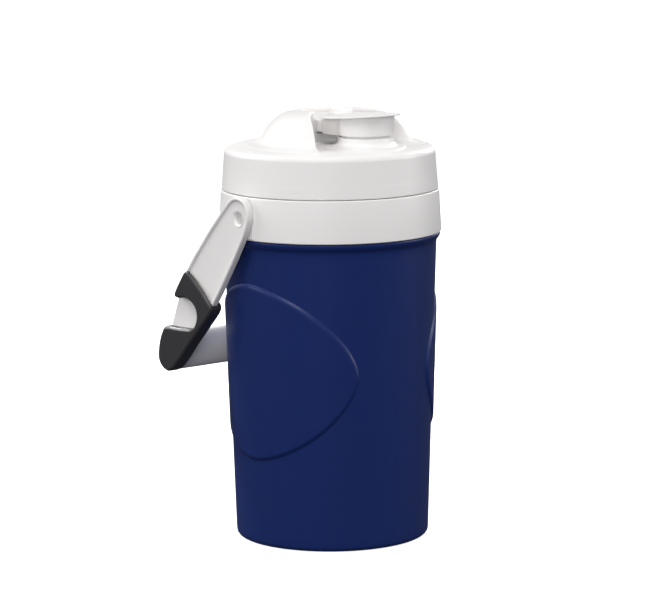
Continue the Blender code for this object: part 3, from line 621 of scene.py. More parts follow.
@dataclass(frozen=True)
class Moulded:
    """A moulded plastic: a base colour, a spark-eroded grain and a soft mottle of sheen."""

    name: str
    colour: Colour
    shade: Colour
    roughness: float
    rough_spread: float = 0.10
    grain: float = 1500.0
    grain_depth: float = 0.00003
    ripple: float = 60.0
    ripple_depth: float = 0.00005
    specular: float = 0.5
    soft: float = 0.0
    scuff: float = 0.0

    def material(self) -> bpy.types.Material:
        """Build the material, or find it if it is already there.

        Returns:
            The material.
        """
        if self.name in bpy.data.materials:
            return bpy.data.materials[self.name]
        made = bpy.data.materials.new(self.name)
        made.use_nodes = True
        nodes = Nodes(made.node_tree)
        place = nodes.add("ShaderNodeTexCoord").outputs["Object"]
        mottle = nodes.noise(place, 35.0, 4.0)
        fine = nodes.noise(place, self.grain, 2.0)
        ripple = nodes.noise(place, self.ripple, 1.0)
        tint = nodes.add(
            "ShaderNodeMix",
            {"data_type": "RGBA"},
            {"Factor": mottle, "A": (*self.colour, 1.0), "B": (*self.shade, 1.0)},
        ).outputs["Result"]
        spread = self.rough_spread
        rough = mottle * spread + fine * (0.4 * spread) + (self.roughness - 0.7 * spread)
        if self.scuff:
            streaks = nodes.add(
                "ShaderNodeMapping",
                {"vector_type": "POINT"},
                {"Vector": place, "Scale": (220.0, 220.0, 18.0)},
            ).outputs["Vector"]
            marks = nodes.noise(streaks, 1.0, 3.0)
            rough = rough + marks * self.scuff - 0.5 * self.scuff
        low = nodes.add(
            "ShaderNodeBump", {}, {"Strength": 1.0, "Distance": self.ripple_depth, "Height": ripple}
        ).outputs["Normal"]
        normal = nodes.add(
            "ShaderNodeBump",
            {},
            {"Strength": 1.0, "Distance": self.grain_depth, "Height": fine, "Normal": low},
        ).outputs["Normal"]
        surface = nodes.add(
            "ShaderNodeBsdfPrincipled",
            {},
            {
                "Base Color": tint,
                "Roughness": rough,
                "Normal": normal,
                "Specular IOR Level": self.specular,
                "Subsurface Weight": self.soft,
                "Subsurface Radius": (0.9, 0.8, 0.7),
                "Subsurface Scale": 0.002,
            },
        ).outputs["BSDF"]
        nodes.add("ShaderNodeOutputMaterial", {}, {"Surface": surface})
        return made

    def dress(self, *pieces: bpy.types.Object) -> None:
        """Give pieces this finish alone.

        Args:
            pieces: The objects to dress.
        """
        for piece in pieces:
            piece.data.materials.clear()
            piece.data.materials.append(self.material())


BLUE = Moulded(
    "blue_moulded", (0.0092, 0.0225, 0.118), (0.0082, 0.0200, 0.106), 0.37, specular=0.26, grain=1300.0,
    grain_depth=0.00004, scuff=0.06,
)
WHITE = Moulded("white_moulded", (0.80, 0.785, 0.775), (0.775, 0.76, 0.75), 0.40, scuff=0.04)
WHITE_BAIL = Moulded("white_bail", (0.79, 0.77, 0.765), (0.76, 0.74, 0.735), 0.42, grain=1100.0, scuff=0.04)
GREY = Moulded(
    "dark_grey_moulded", (0.036, 0.036, 0.039), (0.029, 0.029, 0.031), 0.32, grain=1800.0,
    grain_depth=0.00005,
)
LINER = Moulded("liner_white", (0.76, 0.76, 0.75), (0.72, 0.72, 0.71), 0.34)
FOAM = Moulded("cream_foam", (0.80, 0.74, 0.54), (0.70, 0.63, 0.43), 0.92, grain=900.0, grain_depth=0.0003)
SEAL = Moulded("soft_seal", (0.62, 0.64, 0.66), (0.56, 0.58, 0.60), 0.55, soft=0.3)


# ------------------------------------------------------------------ the jug's body


# (out from the oval's edge, lift) from the seat in the wall up to the oval's face
PANEL_BEVEL: Line = (
    (1.0, -0.4), (0.75, -0.04), (0.4, 0.07), (-0.1, 0.28),
    (-0.65, 0.54), (-1.2, 0.70), (-1.8, 0.78), (-2.4, 0.8),
)


@dataclass
class JugBody:
    """The blue tapered shell with a raised pointed oval on each side."""

    base_radius: float = 61.3
    top_radius: float = 67.3
    taper_height: float = 189.0
    height: float = 195.0
    lip_radius: float = 69.8
    foot_fillet: float = 3.4
    wall: float = 2.0
    sleeve_radius: float = 65.0
    sleeve_wall: float = 1.8
    sleeve_top: float = 216.8
    ring_inner: float = 44.0
    recess: float = 2.0
    pad_radius: float = 15.0
    plug_hole: float = 9.3
    panel_raise: float = 1.4
    panel_reach: float = 73.1
    panel_half_height: float = 55.6
    panel_centre: float = 111.2
    panel_power: float = 1.65
    panel_wrap: float = 65.0
    flats: int = 240

    def wall_radius(self, height: float | Array) -> float | Array:
        """Outer radius of the tapered wall at a height."""
        return self.base_radius + (self.top_radius - self.base_radius) * height / self.taper_height

    def shell(self) -> Mesh:
        """Turn the shell, hollow and open at the top.

        Returns:
            The shell without its ovals.
        """
        top, r_lip = self.height, self.lip_radius
        flare = spline_open(
            [(r_lip, top - 0.9), (r_lip - 0.15, top - 2.0), (r_lip - 0.95, top - 3.6),
             (self.wall_radius(189.6) + 0.35, top - 5.2), (self.wall_radius(187.6), top - 7.4)], 4,
        )
        straight = [(self.wall_radius(z), z) for z in np.linspace(183.0, 8.0, 18)]
        centre = self.wall_radius(self.foot_fillet) - self.foot_fillet
        foot = [
            (centre + self.foot_fillet * math.cos(a), self.foot_fillet * (1 - math.sin(a)))
            for a in np.linspace(0.0, math.pi / 2, 9)
        ]
        under = filleted(
            [
                (self.ring_inner, 0.0, 0.8), (self.ring_inner - 2.0, self.recess, 0.8),
                (self.pad_radius + 2.0, self.recess, 0.8), (self.pad_radius, 0.0, 0.8),
                (self.plug_hole, 0.0, 0.3), (self.plug_hole, self.wall, 0.0),
                (self.pad_radius, self.wall, 0.0), (self.pad_radius, self.recess + self.wall, 0.0),
                (self.base_radius - self.foot_fillet - self.wall, self.recess + self.wall, 0.0),
                (self.base_radius - self.wall, self.recess + 3 * self.wall, 0.0),
                (self.top_radius - self.wall, self.taper_height - self.wall, 0.0),
                (self.top_radius - self.wall - 1.0, top - self.wall, 0.0),
                (self.sleeve_radius - self.sleeve_wall, top - self.wall, 0.0),
                (self.sleeve_radius - self.sleeve_wall, self.sleeve_top, 0.3),
                (self.sleeve_radius, self.sleeve_top, 0.3), (self.sleeve_radius, top, 0.3),
                (r_lip, top, 0.0),
            ]
        )[:-1]
        lip = [(r_lip - 0.7, top), (r_lip - 0.2, top - 0.2)]
        return lathe([*under, *lip, *flare, *straight, *foot], self.flats)

    def panel(self, side: Side, steps: int = 144) -> Mesh:
        """One raised oval as a thin lens seated in the wall.

        Args:
            side: Which side of the jug.
            steps: Points round its outline.

        Returns:
            A closed mesh that follows the wall.
        """
        turns = (np.arange(steps) + 0.5) * 2 * math.pi / steps
        power = 2 / self.panel_power
        edge = np.stack(
            [
                self.panel_reach * np.sign(np.cos(turns)) * np.abs(np.cos(turns)) ** power,
                self.panel_half_height * np.sign(np.sin(turns)) * np.abs(np.sin(turns)) ** power,
            ],
            axis=1,
        )
        along = np.roll(edge, -1, axis=0) - np.roll(edge, 1, axis=0)
        out = np.stack([along[:, 1], -along[:, 0]], axis=1)
        out /= np.linalg.norm(out, axis=1)[:, None]
        raised = self.panel_raise
        rings = [(-0.4, edge * 0.35), (-0.4, edge * 0.7), (-0.4, edge - 1.2 * out)]
        inset, full = PANEL_BEVEL[-1]
        rings += [(lift * raised / full, edge + shift * out) for shift, lift in PANEL_BEVEL]
        inner = edge + inset * out
        rings += [(raised, inner * k) for k in (0.985, 0.95, 0.88, 0.78, 0.66, 0.54, 0.42, 0.3, 0.18, 0.07)]
        rows = []
        for lift, ring in rings:
            z = self.panel_centre + ring[:, 1]
            radius = self.wall_radius(z) + lift
            angle = ring[:, 0] / self.panel_wrap
            rows.append(np.stack([side.value * radius * np.cos(angle), radius * np.sin(angle), z], axis=1))
        points = np.concatenate(rows)
        quads = []
        for i in range(len(rings) - 1):
            a = i * steps + np.arange(steps)
            b = i * steps + (np.arange(steps) + 1) % steps
            quads.append(np.stack([a, b, b + steps, a + steps], axis=1))
        caps = np.array([np.arange(steps)[::-1], (len(rings) - 1) * steps + np.arange(steps)])
        made = Mesh(points, [np.concatenate(quads), caps])
        return made if side is Side.RIGHT else Mesh(points, [f[:, ::-1] for f in made.faces])

    def build(self) -> list[bpy.types.Object]:
        """Make the blue shell with both ovals.

        Returns:
            The piece.
        """
        whole = self.shell().joined(self.panel(Side.LEFT), self.panel(Side.RIGHT))
        made = whole.object("jug_shell", Body.JUG, "outer_body", "blue_plastic")
        BLUE.dress(made)
        return [made]


@dataclass
class NeckBand:
    """The white band round the neck with a pivot boss on each side."""

    bottom: float = 195.3
    top: float = 222.0
    bottom_radius: float = 70.5
    top_radius: float = 69.1
    wall: float = 2.6
    ledge: float = 2.8
    neck_radius: float = 61.8
    pad_half: float = 9.3
    pad_inner: float = 66.2
    pad_outer: float = 71.0
    bore: float = 5.2
    pad_step: float = 0.4
    pivot_height: float = 208.7
    flats: int = 240

    def pad_form(self, at: Array) -> Array:
        """The pad behind one eye: round above the pivot and straight below it.

        Args:
            at: Points, as rows.

        Returns:
            Distances to the pad.
        """
        x, y, z = at.T
        above = np.maximum(z - self.pivot_height, 0.0)
        arch = np.maximum(np.hypot(y, above) - self.pad_half, self.bottom + 0.8 - z)
        pad = rounded_meet(arch, slab(x, self.pad_inner, self.pad_outer), 0.6)
        return rounded_meet(pad, self.bore - np.hypot(y, z - self.pivot_height), 0.3)

    def build(self) -> list[bpy.types.Object]:
        """Make the band with its two pads.

        Returns:
            The piece.
        """
        lip = self.neck_radius + 0.3
        profile = filleted(
            [
                (lip, self.top, 0.3), (self.top_radius, self.top, 0.9),
                (self.bottom_radius, self.bottom, 0.7),
                (self.bottom_radius - self.wall, self.bottom, 0.3),
                (self.top_radius - self.wall, self.top - self.ledge, 0.6), (lip, self.top - self.ledge, 0.3),
            ],
            6,
        )
        ring = lathe(profile, self.flats)
        reach = self.pad_half + 1.2
        right = Moulder(
            (self.pad_inner - 1.0, -reach, self.bottom - 0.5),
            (self.pad_outer + 1.0, reach, self.pivot_height + reach),
            self.pad_step,
        ).mould(self.pad_form)
        whole = ring.joined(right, right.mirrored())
        made = whole.object("neck_band", Body.JUG, "neck_collar", "white_plastic")
        WHITE.dress(made)
        return [made]


@dataclass
class PivotPins:
    """The two hollow snap pins that the carry handle turns on."""

    pivot_height: float = 208.7
    seat: float = 74.0
    head_radius: float = 4.9
    head: float = 0.9
    depth: float = 9.2
    shank_radius: float = 4.9
    bore: float = 3.5
    inner: float = 65.2

    def mesh(self) -> Mesh:
        """Turn one pin along +X, with a dished mouth.

        Returns:
            The pin on the right.
        """
        face = self.seat + self.head
        profile = [
            (0.0, face - self.depth),
            *filleted(
                [
                    (self.bore, face - self.depth, 0.8), (self.bore, face - 1.1, 0.9),
                    (self.bore + 1.0, face, 0.4),
                    (self.head_radius, face, 0.06), (self.shank_radius, self.inner + 0.6, 0.0),
                    (self.shank_radius + 0.8, self.inner + 0.6, 0.2), (self.shank_radius, self.inner, 0.2),
                ],
                5,
            ),
            (0.0, self.inner),
        ]
        turn = Matrix.Translation((0.0, 0.0, self.pivot_height)) @ Matrix.Rotation(math.pi / 2, 4, "Y")
        return lathe(profile, 72, closed=False).moved(turn)

    def build(self) -> list[bpy.types.Object]:
        """Make both pins.

        Returns:
            The two pieces.
        """
        right = self.mesh()
        made = [
            right.object("snap_pin_right", Body.JUG, "pivot_pin_right", "white_plastic"),
            right.mirrored().object("snap_pin_left", Body.JUG, "pivot_pin_left", "white_plastic"),
        ]
        WHITE_BAIL.dress(*made)
        return made


# ------------------------------------------------------------------ the lid


@dataclass
class Lid:
    """The white screw lid: skirt, deck, horned dome round the cap, and the spout."""

    bottom: float = 222.3
    bottom_radius: float = 68.5
    top_radius: float = 66.8
    shoulder: float = 246.2
    deck: float = 251.1
    wall: float = 2.0
    grip_step: float = 0.06
    grip_height: float = 230.2
    dome_radius: float = 51.5
    dome_top: float = 271.9
    dome_y: float = -5.0
    spout_y: float = -35.0
    spout_radius: float = 17.0
    spout_bore: float = 12.5
    spout_lip: float = 15.4
    spout_lip_top: float = 267.1
    spout_shoulder: float = 257.1
    spout_flare: float = 7.0
    pocket_radius: float = 35.0
    pocket_splay: float = math.radians(28.0)
    landing_half: float = 15.8
    landing_back: float = 17.6
    landing_floor: float = 267.2
    slot_half: float = 12.4
    slot_back: float = 9.0
    slot_floor: float = 257.8
    vent_y: float = -12.6
    vent_radius: float = 3.6
    vent_top: float = 257.6
    vent_bore: float = 1.2
    pin_half: float = 14.6
    pin: tuple[float, float, float] = (1.8, 4.0, 262.8)
    step: float = 0.8
    outlines: dict[str, Outline] = field(default_factory=dict)

    def __post_init__(self) -> None:
        """Work out the turned profiles once."""
        run = (self.bottom_radius - self.top_radius) / (self.shoulder - self.bottom)
        deep = self.bottom - 30.0
        skirt = [
            (0.0, self.deck), (self.dome_radius - 2.0, self.deck),
            *spline_open(
                [(self.dome_radius + 2.0, self.deck - 0.25), (self.top_radius - 7.0, self.deck - 1.1),
                 (self.top_radius - 2.6, self.deck - 2.3), (self.top_radius - 0.8, self.deck - 3.5),
                 (self.top_radius, self.shoulder - 0.4)], 4,
            ),
            (self.bottom_radius + run * 30.0, deep), (0.0, deep),
        ]
        r, top = self.dome_radius, self.dome_top
        dome = [
            (0.0, top + 0.1),
            *spline_open(
                [(0.12 * r, top + 0.1), (0.39 * r, top - 0.1), (0.56 * r, top - 0.9), (0.66 * r, top - 2.6),
                 (0.74 * r, top - 5.4), (0.79 * r, top - 7.6), (0.845 * r, top - 11.4),
                 (0.905 * r, top - 16.6),
                 (0.97 * r, top - 19.6), (1.08 * r, self.deck - 0.6)], 5,
            ),
            (1.08 * r, self.deck - 4.0), (0.0, self.deck - 4.0),
        ]
        foot = self.spout_radius + self.spout_flare
        spout = [
            (0.0, self.spout_lip_top),
            *filleted(
                [(self.spout_lip, self.spout_lip_top, 0.8), (self.spout_lip, self.spout_shoulder, 0.5),
                 (self.spout_radius, self.spout_shoulder, 0.7)], 5,
            ),
            *[
                (
                    self.spout_radius + self.spout_flare * (1 - math.cos(a)),
                    self.deck + 5.0 * (1 - math.sin(a)),
                )
                for a in np.linspace(0.12 * math.pi, 0.5 * math.pi, 8)
            ],
            (foot, self.deck - 2.0), (0.0, self.deck - 2.0),
        ]
        turns = np.linspace(self.pocket_splay, math.pi - self.pocket_splay, 22)
        pocket = [
            (self.pocket_radius * math.cos(a), self.spout_y + self.pocket_radius * math.sin(a)) for a in turns
        ]
        out = -pocket[-1][0] + (pocket[-1][1] + 90.0) * math.tan(self.pocket_splay)
        pocket = [(out, -90.0), *pocket, (-out, -90.0)]
        self.outlines = {
            "skirt": Outline(tuple(skirt)), "dome": Outline(tuple(dome)), "spout": Outline(tuple(spout)),
            "pocket": Outline(tuple(pocket)),
        }

    def core(self, at: Array) -> Array:
        """The lid's outer form, going on down past its rim.

        Args:
            at: Points, as rows.

        Returns:
            Distances to the form.
        """
        x, y, z = at.T
        r = np.hypot(x, y)
        pocket = self.outlines["pocket"].distance(x, y)
        skirt = self.outlines["skirt"].distance(r, z)
        skirt = skirt - self.grip_step * (1.0 - ramp(z, self.grip_height - 0.5, self.grip_height + 0.5))
        dome = self.outlines["dome"].distance(np.hypot(x, y - self.dome_y), z)
        landing = rounded_meet(np.abs(x) - self.landing_half, self.landing_floor - z, 0.8)
        landing = rounded_meet(landing, y - self.landing_back, 1.0)
        slot = rounded_meet(
            rounded_meet(np.abs(x) - self.slot_half, self.slot_floor - z, 0.6), y - self.slot_back, 0.8
        )
        room = np.minimum(np.minimum(pocket, landing), slot)
        dome = rounded_meet(dome, -room, 1.3)
        return soft_union(skirt, dome, 2.2)

    def form(self, at: Array) -> Array:
        """The finished lid.

        Args:
            at: Points, as rows.

        Returns:
            Distances to the lid.
        """
        x, y, z = at.T
        around = np.hypot(x, y - self.spout_y)
        core = self.core(at)
        shell = rounded_meet(core, self.bottom - z, 0.5)
        shell = rounded_meet(shell, -(core + self.wall), 0.35)
        shell = soft_union(shell, self.outlines["spout"].distance(around, z), 2.0)
        boss = rounded_meet(
            np.hypot(x, y - self.vent_y) - self.vent_radius, slab(z, self.deck - 1.0, self.vent_top), 0.5
        )
        shell = soft_union(shell, boss, 1.0)
        shell = rounded_meet(shell, self.spout_bore - around, 0.9)
        shell = rounded_meet(shell, self.vent_bore - np.hypot(x, y - self.vent_y), 0.3)
        bore = np.maximum(np.hypot(y - self.pin[1], z - self.pin[2]) - self.pin[0], np.abs(x) - self.pin_half)
        return np.maximum(shell, -bore)

    def build(self) -> list[bpy.types.Object]:
        """Make the lid's outer moulding.

        Returns:
            The piece.
        """
        reach = self.bottom_radius + 1.5
        moulder = Moulder((-reach, -reach, self.bottom - 1.6), (reach, reach, self.dome_top + 1.6), self.step)
        made = moulder.mould(self.form).object("lid_moulding", Body.LID, "lid_shell", "white_plastic")
        WHITE.dress(made)
        return [made]


@dataclass
class FlipCap:
    """The flip cap: skirt over the spout, arm, hinge barrel and a tilted top plate."""

    spout_y: float = -35.0
    bottom: float = 258.4
    skirt_radius: float = 17.8
    skirt_draft: float = 0.05
    wall: float = 1.5
    plate_under: float = 269.5
    plate_radius: float = 21.2
    plate_thickness: float = 1.2
    crown: float = 1.45
    tilt: float = math.radians(4.3)
    arm_half: float = 12.0
    plate_back: float = -6.4
    hinge_y: float = 4.0
    hinge_z: float = 262.8
    barrel_radius: float = 4.2
    pin_radius: float = 1.8
    clear_top: float = 280.0
    step: float = 0.6
    plan: Outline | None = None

    def __post_init__(self) -> None:
        """Draw the plate's outline seen from above, about the spout."""
        r, back = self.plate_radius, self.plate_back - self.spout_y
        arc = [
            (r * math.cos(a), r * math.sin(a)) for a in np.linspace(math.radians(14.0), -math.pi / 2, 26)
        ]
        half = [
            *spline_open([(self.arm_half + 1.0, back), (0.63 * r, back - 1.0), (0.80 * r, back - 4.4),
                          (0.92 * r, back - 10.5), (0.965 * r, back - 17.0), (0.972 * r, 0.245 * r)], 4),
            *arc[1:],
        ]
        self.plan = Outline(tuple(half + [(-x, y) for x, y in reversed(half[:-1])]))

    def form(self, at: Array) -> Array:
        """The finished cap.

        Args:
            at: Points, as rows.

        Returns:
            Distances to the cap.
        """
        x, y, z = at.T
        around = np.hypot(x, y - self.spout_y)
        level = (z - self.plate_under) * math.cos(self.tilt) + (y - self.spout_y) * math.sin(self.tilt)
        plan = self.plan.distance(x, (y - self.spout_y) / math.cos(self.tilt))
        thick = self.plate_thickness + self.crown * ramp(-plan, -0.5, 15.0)
        plate = rounded_meet(rounded_meet(plan, level - thick, 0.55), -level, 0.45)
        lean = self.skirt_draft * (self.plate_under - z)
        skirt = rounded_meet(around - self.skirt_radius + lean, slab(z, self.bottom, self.clear_top), 0.5)
        arm = rounded_meet(
            rounded_meet(np.abs(x) - self.arm_half, slab(y, self.spout_y + 8.0, self.plate_back - 1.0), 0.6),
            slab(z, self.bottom - 0.7, self.clear_top), 0.5,
        )
        neck = rounded_meet(
            rounded_meet(np.abs(x) - self.arm_half, slab(y, self.plate_back - 2.0, self.hinge_y), 0.6),
            slab(z, self.hinge_z - 4.2, self.hinge_z + 3.6), 0.6,
        )
        pivot = np.hypot(y - self.hinge_y, z - self.hinge_z)
        barrel = rounded_meet(pivot - self.barrel_radius, np.abs(x) - self.arm_half, 0.5)
        walls = np.maximum(soft_union(skirt, arm, 0.8), level - 0.6)
        hollow = np.maximum(around - (self.skirt_radius - self.wall) + lean, level)
        between = slab(y, self.spout_y, self.plate_back - 2.4)
        slot = np.maximum(np.maximum(np.abs(x) - (self.arm_half - self.wall), between), level)
        walls = soft_union(soft_union(walls, plate, 0.7), soft_union(neck, barrel, 1.2), 0.8)
        walls = soft_cut(walls, np.minimum(hollow, slot), 0.5)
        return np.maximum(walls, self.pin_radius - pivot)

    def build(self) -> list[bpy.types.Object]:
        """Make the flip cap.

        Returns:
            The piece.
        """
        reach = self.plate_radius + 1.5
        moulder = Moulder(
            (-reach, self.spout_y - reach, self.bottom - 2.2),
            (reach, self.hinge_y + 6.0, self.plate_under + 6.0),
            self.step,
        )
        made = moulder.mould(self.form).object("flip_cap", Body.CAP, "spout_cap", "white_plastic")
        WHITE.dress(made)
        return [made]


# ------------------------------------------------------------------ the carry handle

ARM_OUTLINE: Line = (
    (1.5, -13.6), (9.5, -10.0), (13.2, -3.0), (15.0, 10.0), (17.2, 30.0), (18.7, 60.0),
    (16.4, 82.0), (13.0, 96.0), (9.6, 107.0), (6.5, 114.0), (2.0, 118.6), (-2.5, 118.8),
    (-6.0, 114.6), (-8.2, 106.0), (-10.6, 92.0), (-12.8, 78.0), (-14.2, 62.0), (-14.0, 43.0),
    (-12.6, 18.0), (-10.6, 0.0), (-6.6, -9.4),
)
CLIP_OUTLINE: Line = (
    (17.0, 59.6), (17.8, 67.5), (17.0, 79.2), (13.0, 79.3), (7.5, 74.0), (0.7, 71.7),
    (-5.0, 72.5), (-9.0, 76.4), (-10.2, 82.0), (-7.5, 86.7), (1.8, 94.7), (11.4, 102.3),
    (12.0, 107.8), (9.6, 116.4), (4.6, 124.4), (-2.2, 126.4), (-8.6, 123.4), (-11.6, 112.6),
    (-13.2, 96.8), (-15.6, 78.8), (-16.9, 62.0), (-9.2, 59.4), (1.4, 58.4), (10.7, 58.2),
)


@dataclass
class CarryHandle:
    """The white bail with its two dark hook clips, drawn as it would hang straight down."""

    pivot_height: float = 208.7
    hang: float = math.radians(37.0)
    inner: float = 71.4
    outer: float = 76.4
    recess: float = 1.5
    rim: float = 2.3
    web: float = 2.2
    web_start: float = 65.0
    bar_drop: float = 118.2
    bar_offset: float = 3.0
    bar_half_long: float = 12.9
    bar_half_wide: float = 7.0
    bar_tilt: float = math.radians(22.0)
    eye: float = 4.98
    clip_outer: float = 78.9
    clip_inner: float = 69.1
    leg_edge: float = -9.0
    step: float = 0.7
    clip_step: float = 0.5
    arm: Outline | None = None
    clip: Outline | None = None
    bar: Outline | None = None

    def __post_init__(self) -> None:
        """Draw the outlines of arm, clip and bar."""
        self.arm = Outline(tuple(spline_loop(ARM_OUTLINE, 4)))
        self.clip = Outline(tuple(spline_loop(CLIP_OUTLINE, 4)))
        turns = [2 * math.pi * i / 48 for i in range(48)]
        c, s = math.cos(self.bar_tilt), math.sin(self.bar_tilt)
        across = [(self.bar_half_wide * math.cos(a), self.bar_half_long * math.sin(a)) for a in turns]
        self.bar = Outline(
            tuple((self.bar_offset + u * c + v * s, -self.bar_drop - u * s + v * c) for u, v in across)
        )

    def bail_form(self, at: Array) -> Array:
        """The white bail.

        Args:
            at: Points, as rows.

        Returns:
            Distances to the bail.
        """
        x, y, z = at.T
        out = np.abs(x)
        arm = self.arm.distance(y, z)
        plate = rounded_meet(arm, slab(out, self.inner, self.outer), 1.1)
        dish = np.maximum(arm + self.rim, self.outer - self.recess - out)
        plate = soft_cut(plate, dish, 1.3)
        plate = soft_cut(plate, np.maximum(self.inner + self.web - out, z + self.web_start), 0.8)
        plate = np.maximum(plate, self.eye - np.hypot(y, z))
        bar = np.maximum(self.bar.distance(y, z), out - self.inner - 0.2)
        return soft_union(plate, bar, 2.5)

    def clip_form(self, at: Array) -> Array:
        """The hook clip on the +X side.

        Args:
            at: Points, as rows.

        Returns:
            Distances to the clip.
        """
        out, y, z = at.T
        arm = self.arm.distance(y, z)
        outline = self.clip.distance(y, z)
        ledge = Vector((18.9, -15.6)).normalized()  # along the hook's lower edge
        run = np.clip((y + 7.5) * ledge.x + (z + 86.7) * ledge.y, 0.0, 24.0)
        near = np.hypot(y + 7.5 - run * ledge.x, z + 86.7 - run * ledge.y)
        edge = 1.6 + 1.4 * np.exp(-((near / 3.2) ** 2)) * (out > 74.0)
        body = rounded_meet(outline, slab(out, self.clip_inner, self.clip_outer), edge)
        web = np.maximum(arm - 0.3, slab(out, self.inner - 0.3, self.inner + self.web + 0.3))
        front = float(min(v for v, _ in self.arm.points)) - 0.45
        room = np.maximum(
            np.maximum(slab(out, self.inner - 0.4, self.outer + 0.3), front - y), -(self.web_start + 0.3) - z
        )
        bar = np.maximum(self.bar.distance(y, z) - 0.3, out - self.inner - 1.3)
        leg = np.maximum(out - self.inner + 0.2, self.leg_edge - y)
        return soft_cut(body, np.minimum(np.minimum(web, room), np.minimum(bar, leg)), 0.35)

    def hung(self) -> Matrix:
        """The matrix that tilts the handle to where it hangs."""
        return Matrix.Translation((0.0, 0.0, self.pivot_height)) @ Matrix.Rotation(self.hang, 4, "X")

    def build(self) -> list[bpy.types.Object]:
        """Make the bail and both clips.

        Returns:
            The three pieces.
        """
        reach = self.outer + 1.4
        bail = Moulder((-reach, -17.0, -133.0), (reach, 21.0, 16.0), self.step).mould(self.bail_form)
        white = bail.moved(self.hung()).object("bail", Body.HANDLE, "carry_handle", "white_plastic")
        WHITE_BAIL.dress(white)
        clip = Moulder(
            (self.clip_inner - 1.0, -20.0, -129.0), (self.clip_outer + 1.0, 21.0, -54.0), self.clip_step
        ).mould(self.clip_form)
        right = clip.moved(self.hung())
        dark = [
            right.object("hook_right", Body.HANDLE, "hook_clip_right", "dark_grey_plastic"),
            right.mirrored().object("hook_left", Body.HANDLE, "hook_clip_left", "dark_grey_plastic"),
        ]
        GREY.dress(*dark)
        return [white, *dark]


# ------------------------------------------------------------------ carried-over nodes


@dataclass
class InnerPieces:
    """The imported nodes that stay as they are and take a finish."""

    nodes: dict[str, bpy.types.Object]

    def build(self) -> list[bpy.types.Object]:
        """Dress each node with its finish.

        Returns:
            The dressed nodes.
        """
        finishes: dict[Moulded, tuple[str, ...]] = {
            BLUE: ("base_plug",),
            LINER: ("inner_liner", "lid_liner", "cap_hinge_pin"),
            FOAM: ("body_foam", "lid_foam"),
            SEAL: ("lid_gasket", "cap_seal", "vent_plug"),
        }
        made = []
        for finish, names in finishes.items():
            for name in names:
                finish.dress(self.nodes[name])
                made.append(self.nodes[name])
        return made


# ------------------------------------------------------------------ studio


@dataclass(frozen=True)
class SoftLight:
    """A soft light: a panel, or a narrow beam where it has a cone.

    A light that is not mirrored stays out of reflections.
    """

    name: str
    place: tuple[float, float, float]
    aim: tuple[float, float, float]
    size: tuple[float, float]
    power: float
    colour: Colour = (1.0, 1.0, 1.0)
    mirrored: bool = True
    cone: float = 0.0

    def build(self) -> bpy.types.Object:
        """Hang the light and point it.

        Returns:
            The light.
        """
        data = bpy.data.lights.new(self.name, "SPOT" if self.cone else "AREA")
        if self.cone:
            data.spot_size, data.spot_blend, data.shadow_soft_size = self.cone, 1.0, self.size[0] / 2
        else:
            data.shape, data.size, data.size_y = "RECTANGLE", self.size[0], self.size[1]
        data.energy, data.color = self.power, self.colour
        made = bpy.data.objects.new(self.name, data)
        made.location = self.place
        way = Vector(self.aim) - Vector(self.place)
        made.rotation_euler = way.to_track_quat("-Z", "Y").to_euler()
        made.visible_glossy = self.mirrored
        bpy.context.scene.collection.objects.link(made)
        return made


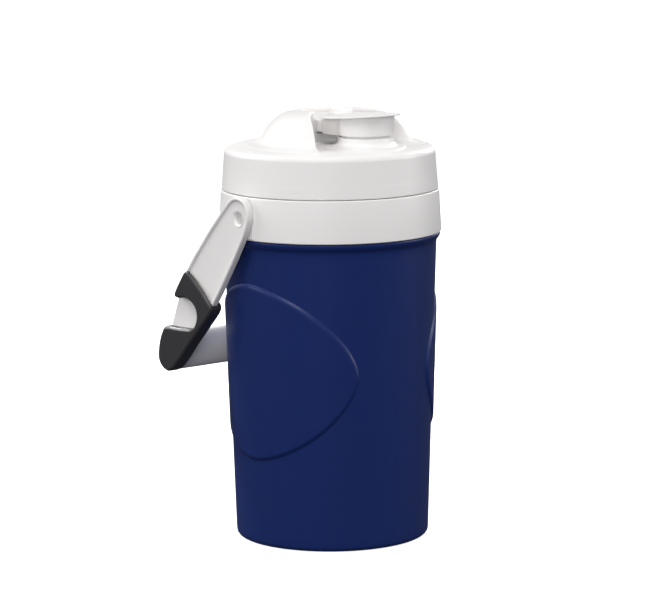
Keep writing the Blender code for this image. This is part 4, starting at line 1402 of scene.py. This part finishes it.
@dataclass
class Studio:
    """A pale floor, soft light and the camera."""

    azimuth: float = math.radians(-40.5)
    elevation: float = math.radians(8.96)
    distance: float = 2.0459
    target: float = 0.15013
    lens: float = 179.0
    roll: float = math.radians(0.44)
    shift: float = -0.01125
    floor: float = 14.0
    lights: tuple[SoftLight, ...] = (
        SoftLight("key", (-0.76, -0.66, 1.76), (0.0, 0.0, 0.2), (0.7, 0.7), 15.0),
        SoftLight("front_fill", (-2.2, -1.95, 0.6), (0.0, 0.0, 0.15), (1.4, 1.4), 38.0, mirrored=False),
        SoftLight("left_fill", (-1.7, 0.8, 0.9), (0.0, 0.0, 0.15), (0.9, 0.9), 5.5),
        SoftLight("right_fill", (1.3, -0.9, 0.7), (0.0, 0.0, 0.15), (0.6, 0.9), 10.0),
        SoftLight("back_left", (-0.7, 1.4, 1.1), (0.0, 0.0, 0.15), (0.9, 0.7), 12.0),
        SoftLight(
            "bar_light", (-0.15, 0.95, 1.05), (-0.06, 0.07, 0.117), (0.16, 0.16), 62.0,
            cone=math.radians(11.0),
        ),
        SoftLight("back_right", (1.4, 0.5, 0.8), (0.0, 0.0, 0.2), (0.4, 0.9), 9.0),
    )

    def world(self) -> None:
        """Pale surroundings, bright above and dim below."""
        world = bpy.data.worlds.new("surroundings")
        world.use_nodes = True
        bpy.context.scene.world = world
        nodes = Nodes(world.node_tree)
        place = nodes.add("ShaderNodeTexCoord").outputs["Generated"]
        height = nodes.add("ShaderNodeSeparateXYZ", {}, {"Vector": place}).outputs["Z"]
        share = Value(nodes, height) * 0.5 + 0.5
        grey = nodes.add(
            "ShaderNodeValToRGB",
            {
                "stops": [
                    (0.0, (0.03, 0.03, 0.035, 1.0)), (0.44, (0.06, 0.06, 0.07, 1.0)),
                    (0.52, (0.34, 0.34, 0.35, 1.0)), (0.75, (0.36, 0.36, 0.36, 1.0)),
                    (0.90, (0.42, 0.42, 0.42, 1.0)), (1.0, (0.50, 0.50, 0.50, 1.0)),
                ]
            },
            {"Fac": share},
        ).outputs["Color"]
        back = nodes.add("ShaderNodeBackground", {}, {"Color": grey, "Strength": 1.0}).outputs["Background"]
        nodes.add("ShaderNodeOutputWorld", {}, {"Surface": back})

    def ground(self) -> bpy.types.Object:
        """Lay the pale floor, which throws no light up onto the jug.

        Returns:
            The floor.
        """
        half = self.floor / 2
        data = bpy.data.meshes.new("floor")
        corners = [(-half, -half, 0), (half, -half, 0), (half, half, 0), (-half, half, 0)]
        data.from_pydata(corners, [], [(0, 1, 2, 3)])
        made = bpy.data.objects.new("floor", data)
        made.location.z = -0.0004
        bpy.context.scene.collection.objects.link(made)
        material = bpy.data.materials.new("pale_floor")
        material.use_nodes = True
        nodes = Nodes(material.node_tree)
        surface = nodes.add(
            "ShaderNodeBsdfPrincipled",
            {},
            {
                "Base Color": (0.9, 0.9, 0.9, 1.0), "Roughness": 0.9, "Specular IOR Level": 0.0,
                "Emission Color": (1.0, 1.0, 1.0, 1.0), "Emission Strength": 0.82,
            },
        ).outputs["BSDF"]
        nodes.add("ShaderNodeOutputMaterial", {}, {"Surface": surface})
        data.materials.append(material)
        made.visible_diffuse = made.visible_glossy = False
        return made

    def camera(self) -> bpy.types.Object:
        """Set the camera at the viewing angle.

        Returns:
            The camera.
        """
        a, e = self.azimuth, self.elevation
        back = Vector((math.sin(a) * math.cos(e), -math.cos(a) * math.cos(e), math.sin(e)))
        right = Vector((math.cos(a), math.sin(a), 0.0))
        up = back.cross(right)
        c, s = math.cos(self.roll), math.sin(self.roll)
        across, rise = right * c - up * s, right * s + up * c
        data = bpy.data.cameras.new("camera")
        data.lens, data.sensor_width, data.shift_x = self.lens, 36.0, self.shift
        data.clip_start, data.clip_end = 0.05, 60.0
        made = bpy.data.objects.new("camera", data)
        place = Matrix((across, rise, back)).transposed().to_4x4()
        place.translation = Vector((0.0, 0.0, self.target)) + back * self.distance
        made.matrix_world = place
        bpy.context.scene.collection.objects.link(made)
        bpy.context.scene.camera = made
        return made

    def build(self) -> None:
        """Set the stage."""
        self.world()
        self.ground()
        for light in self.lights:
            light.build()
        self.camera()
        view = bpy.context.scene.view_settings
        view.view_transform, view.look = "Standard", "None"


def main() -> None:
    """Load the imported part, dress it and set the stage."""
    logging.basicConfig(level=logging.INFO, format="%(name)s: %(message)s")
    for found in list(bpy.data.objects):
        bpy.data.objects.remove(found, do_unlink=True)
    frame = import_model()
    inner = InnerPieces(frame["nodes"])
    makers = (JugBody(), NeckBand(), PivotPins(), Lid(), FlipCap(), CarryHandle(), inner)
    for maker in makers:
        for piece in maker.build():
            LOG.info("%s made %s", type(maker).__name__, piece.name)
    Studio().build()


if __name__ == "__main__":
    main()
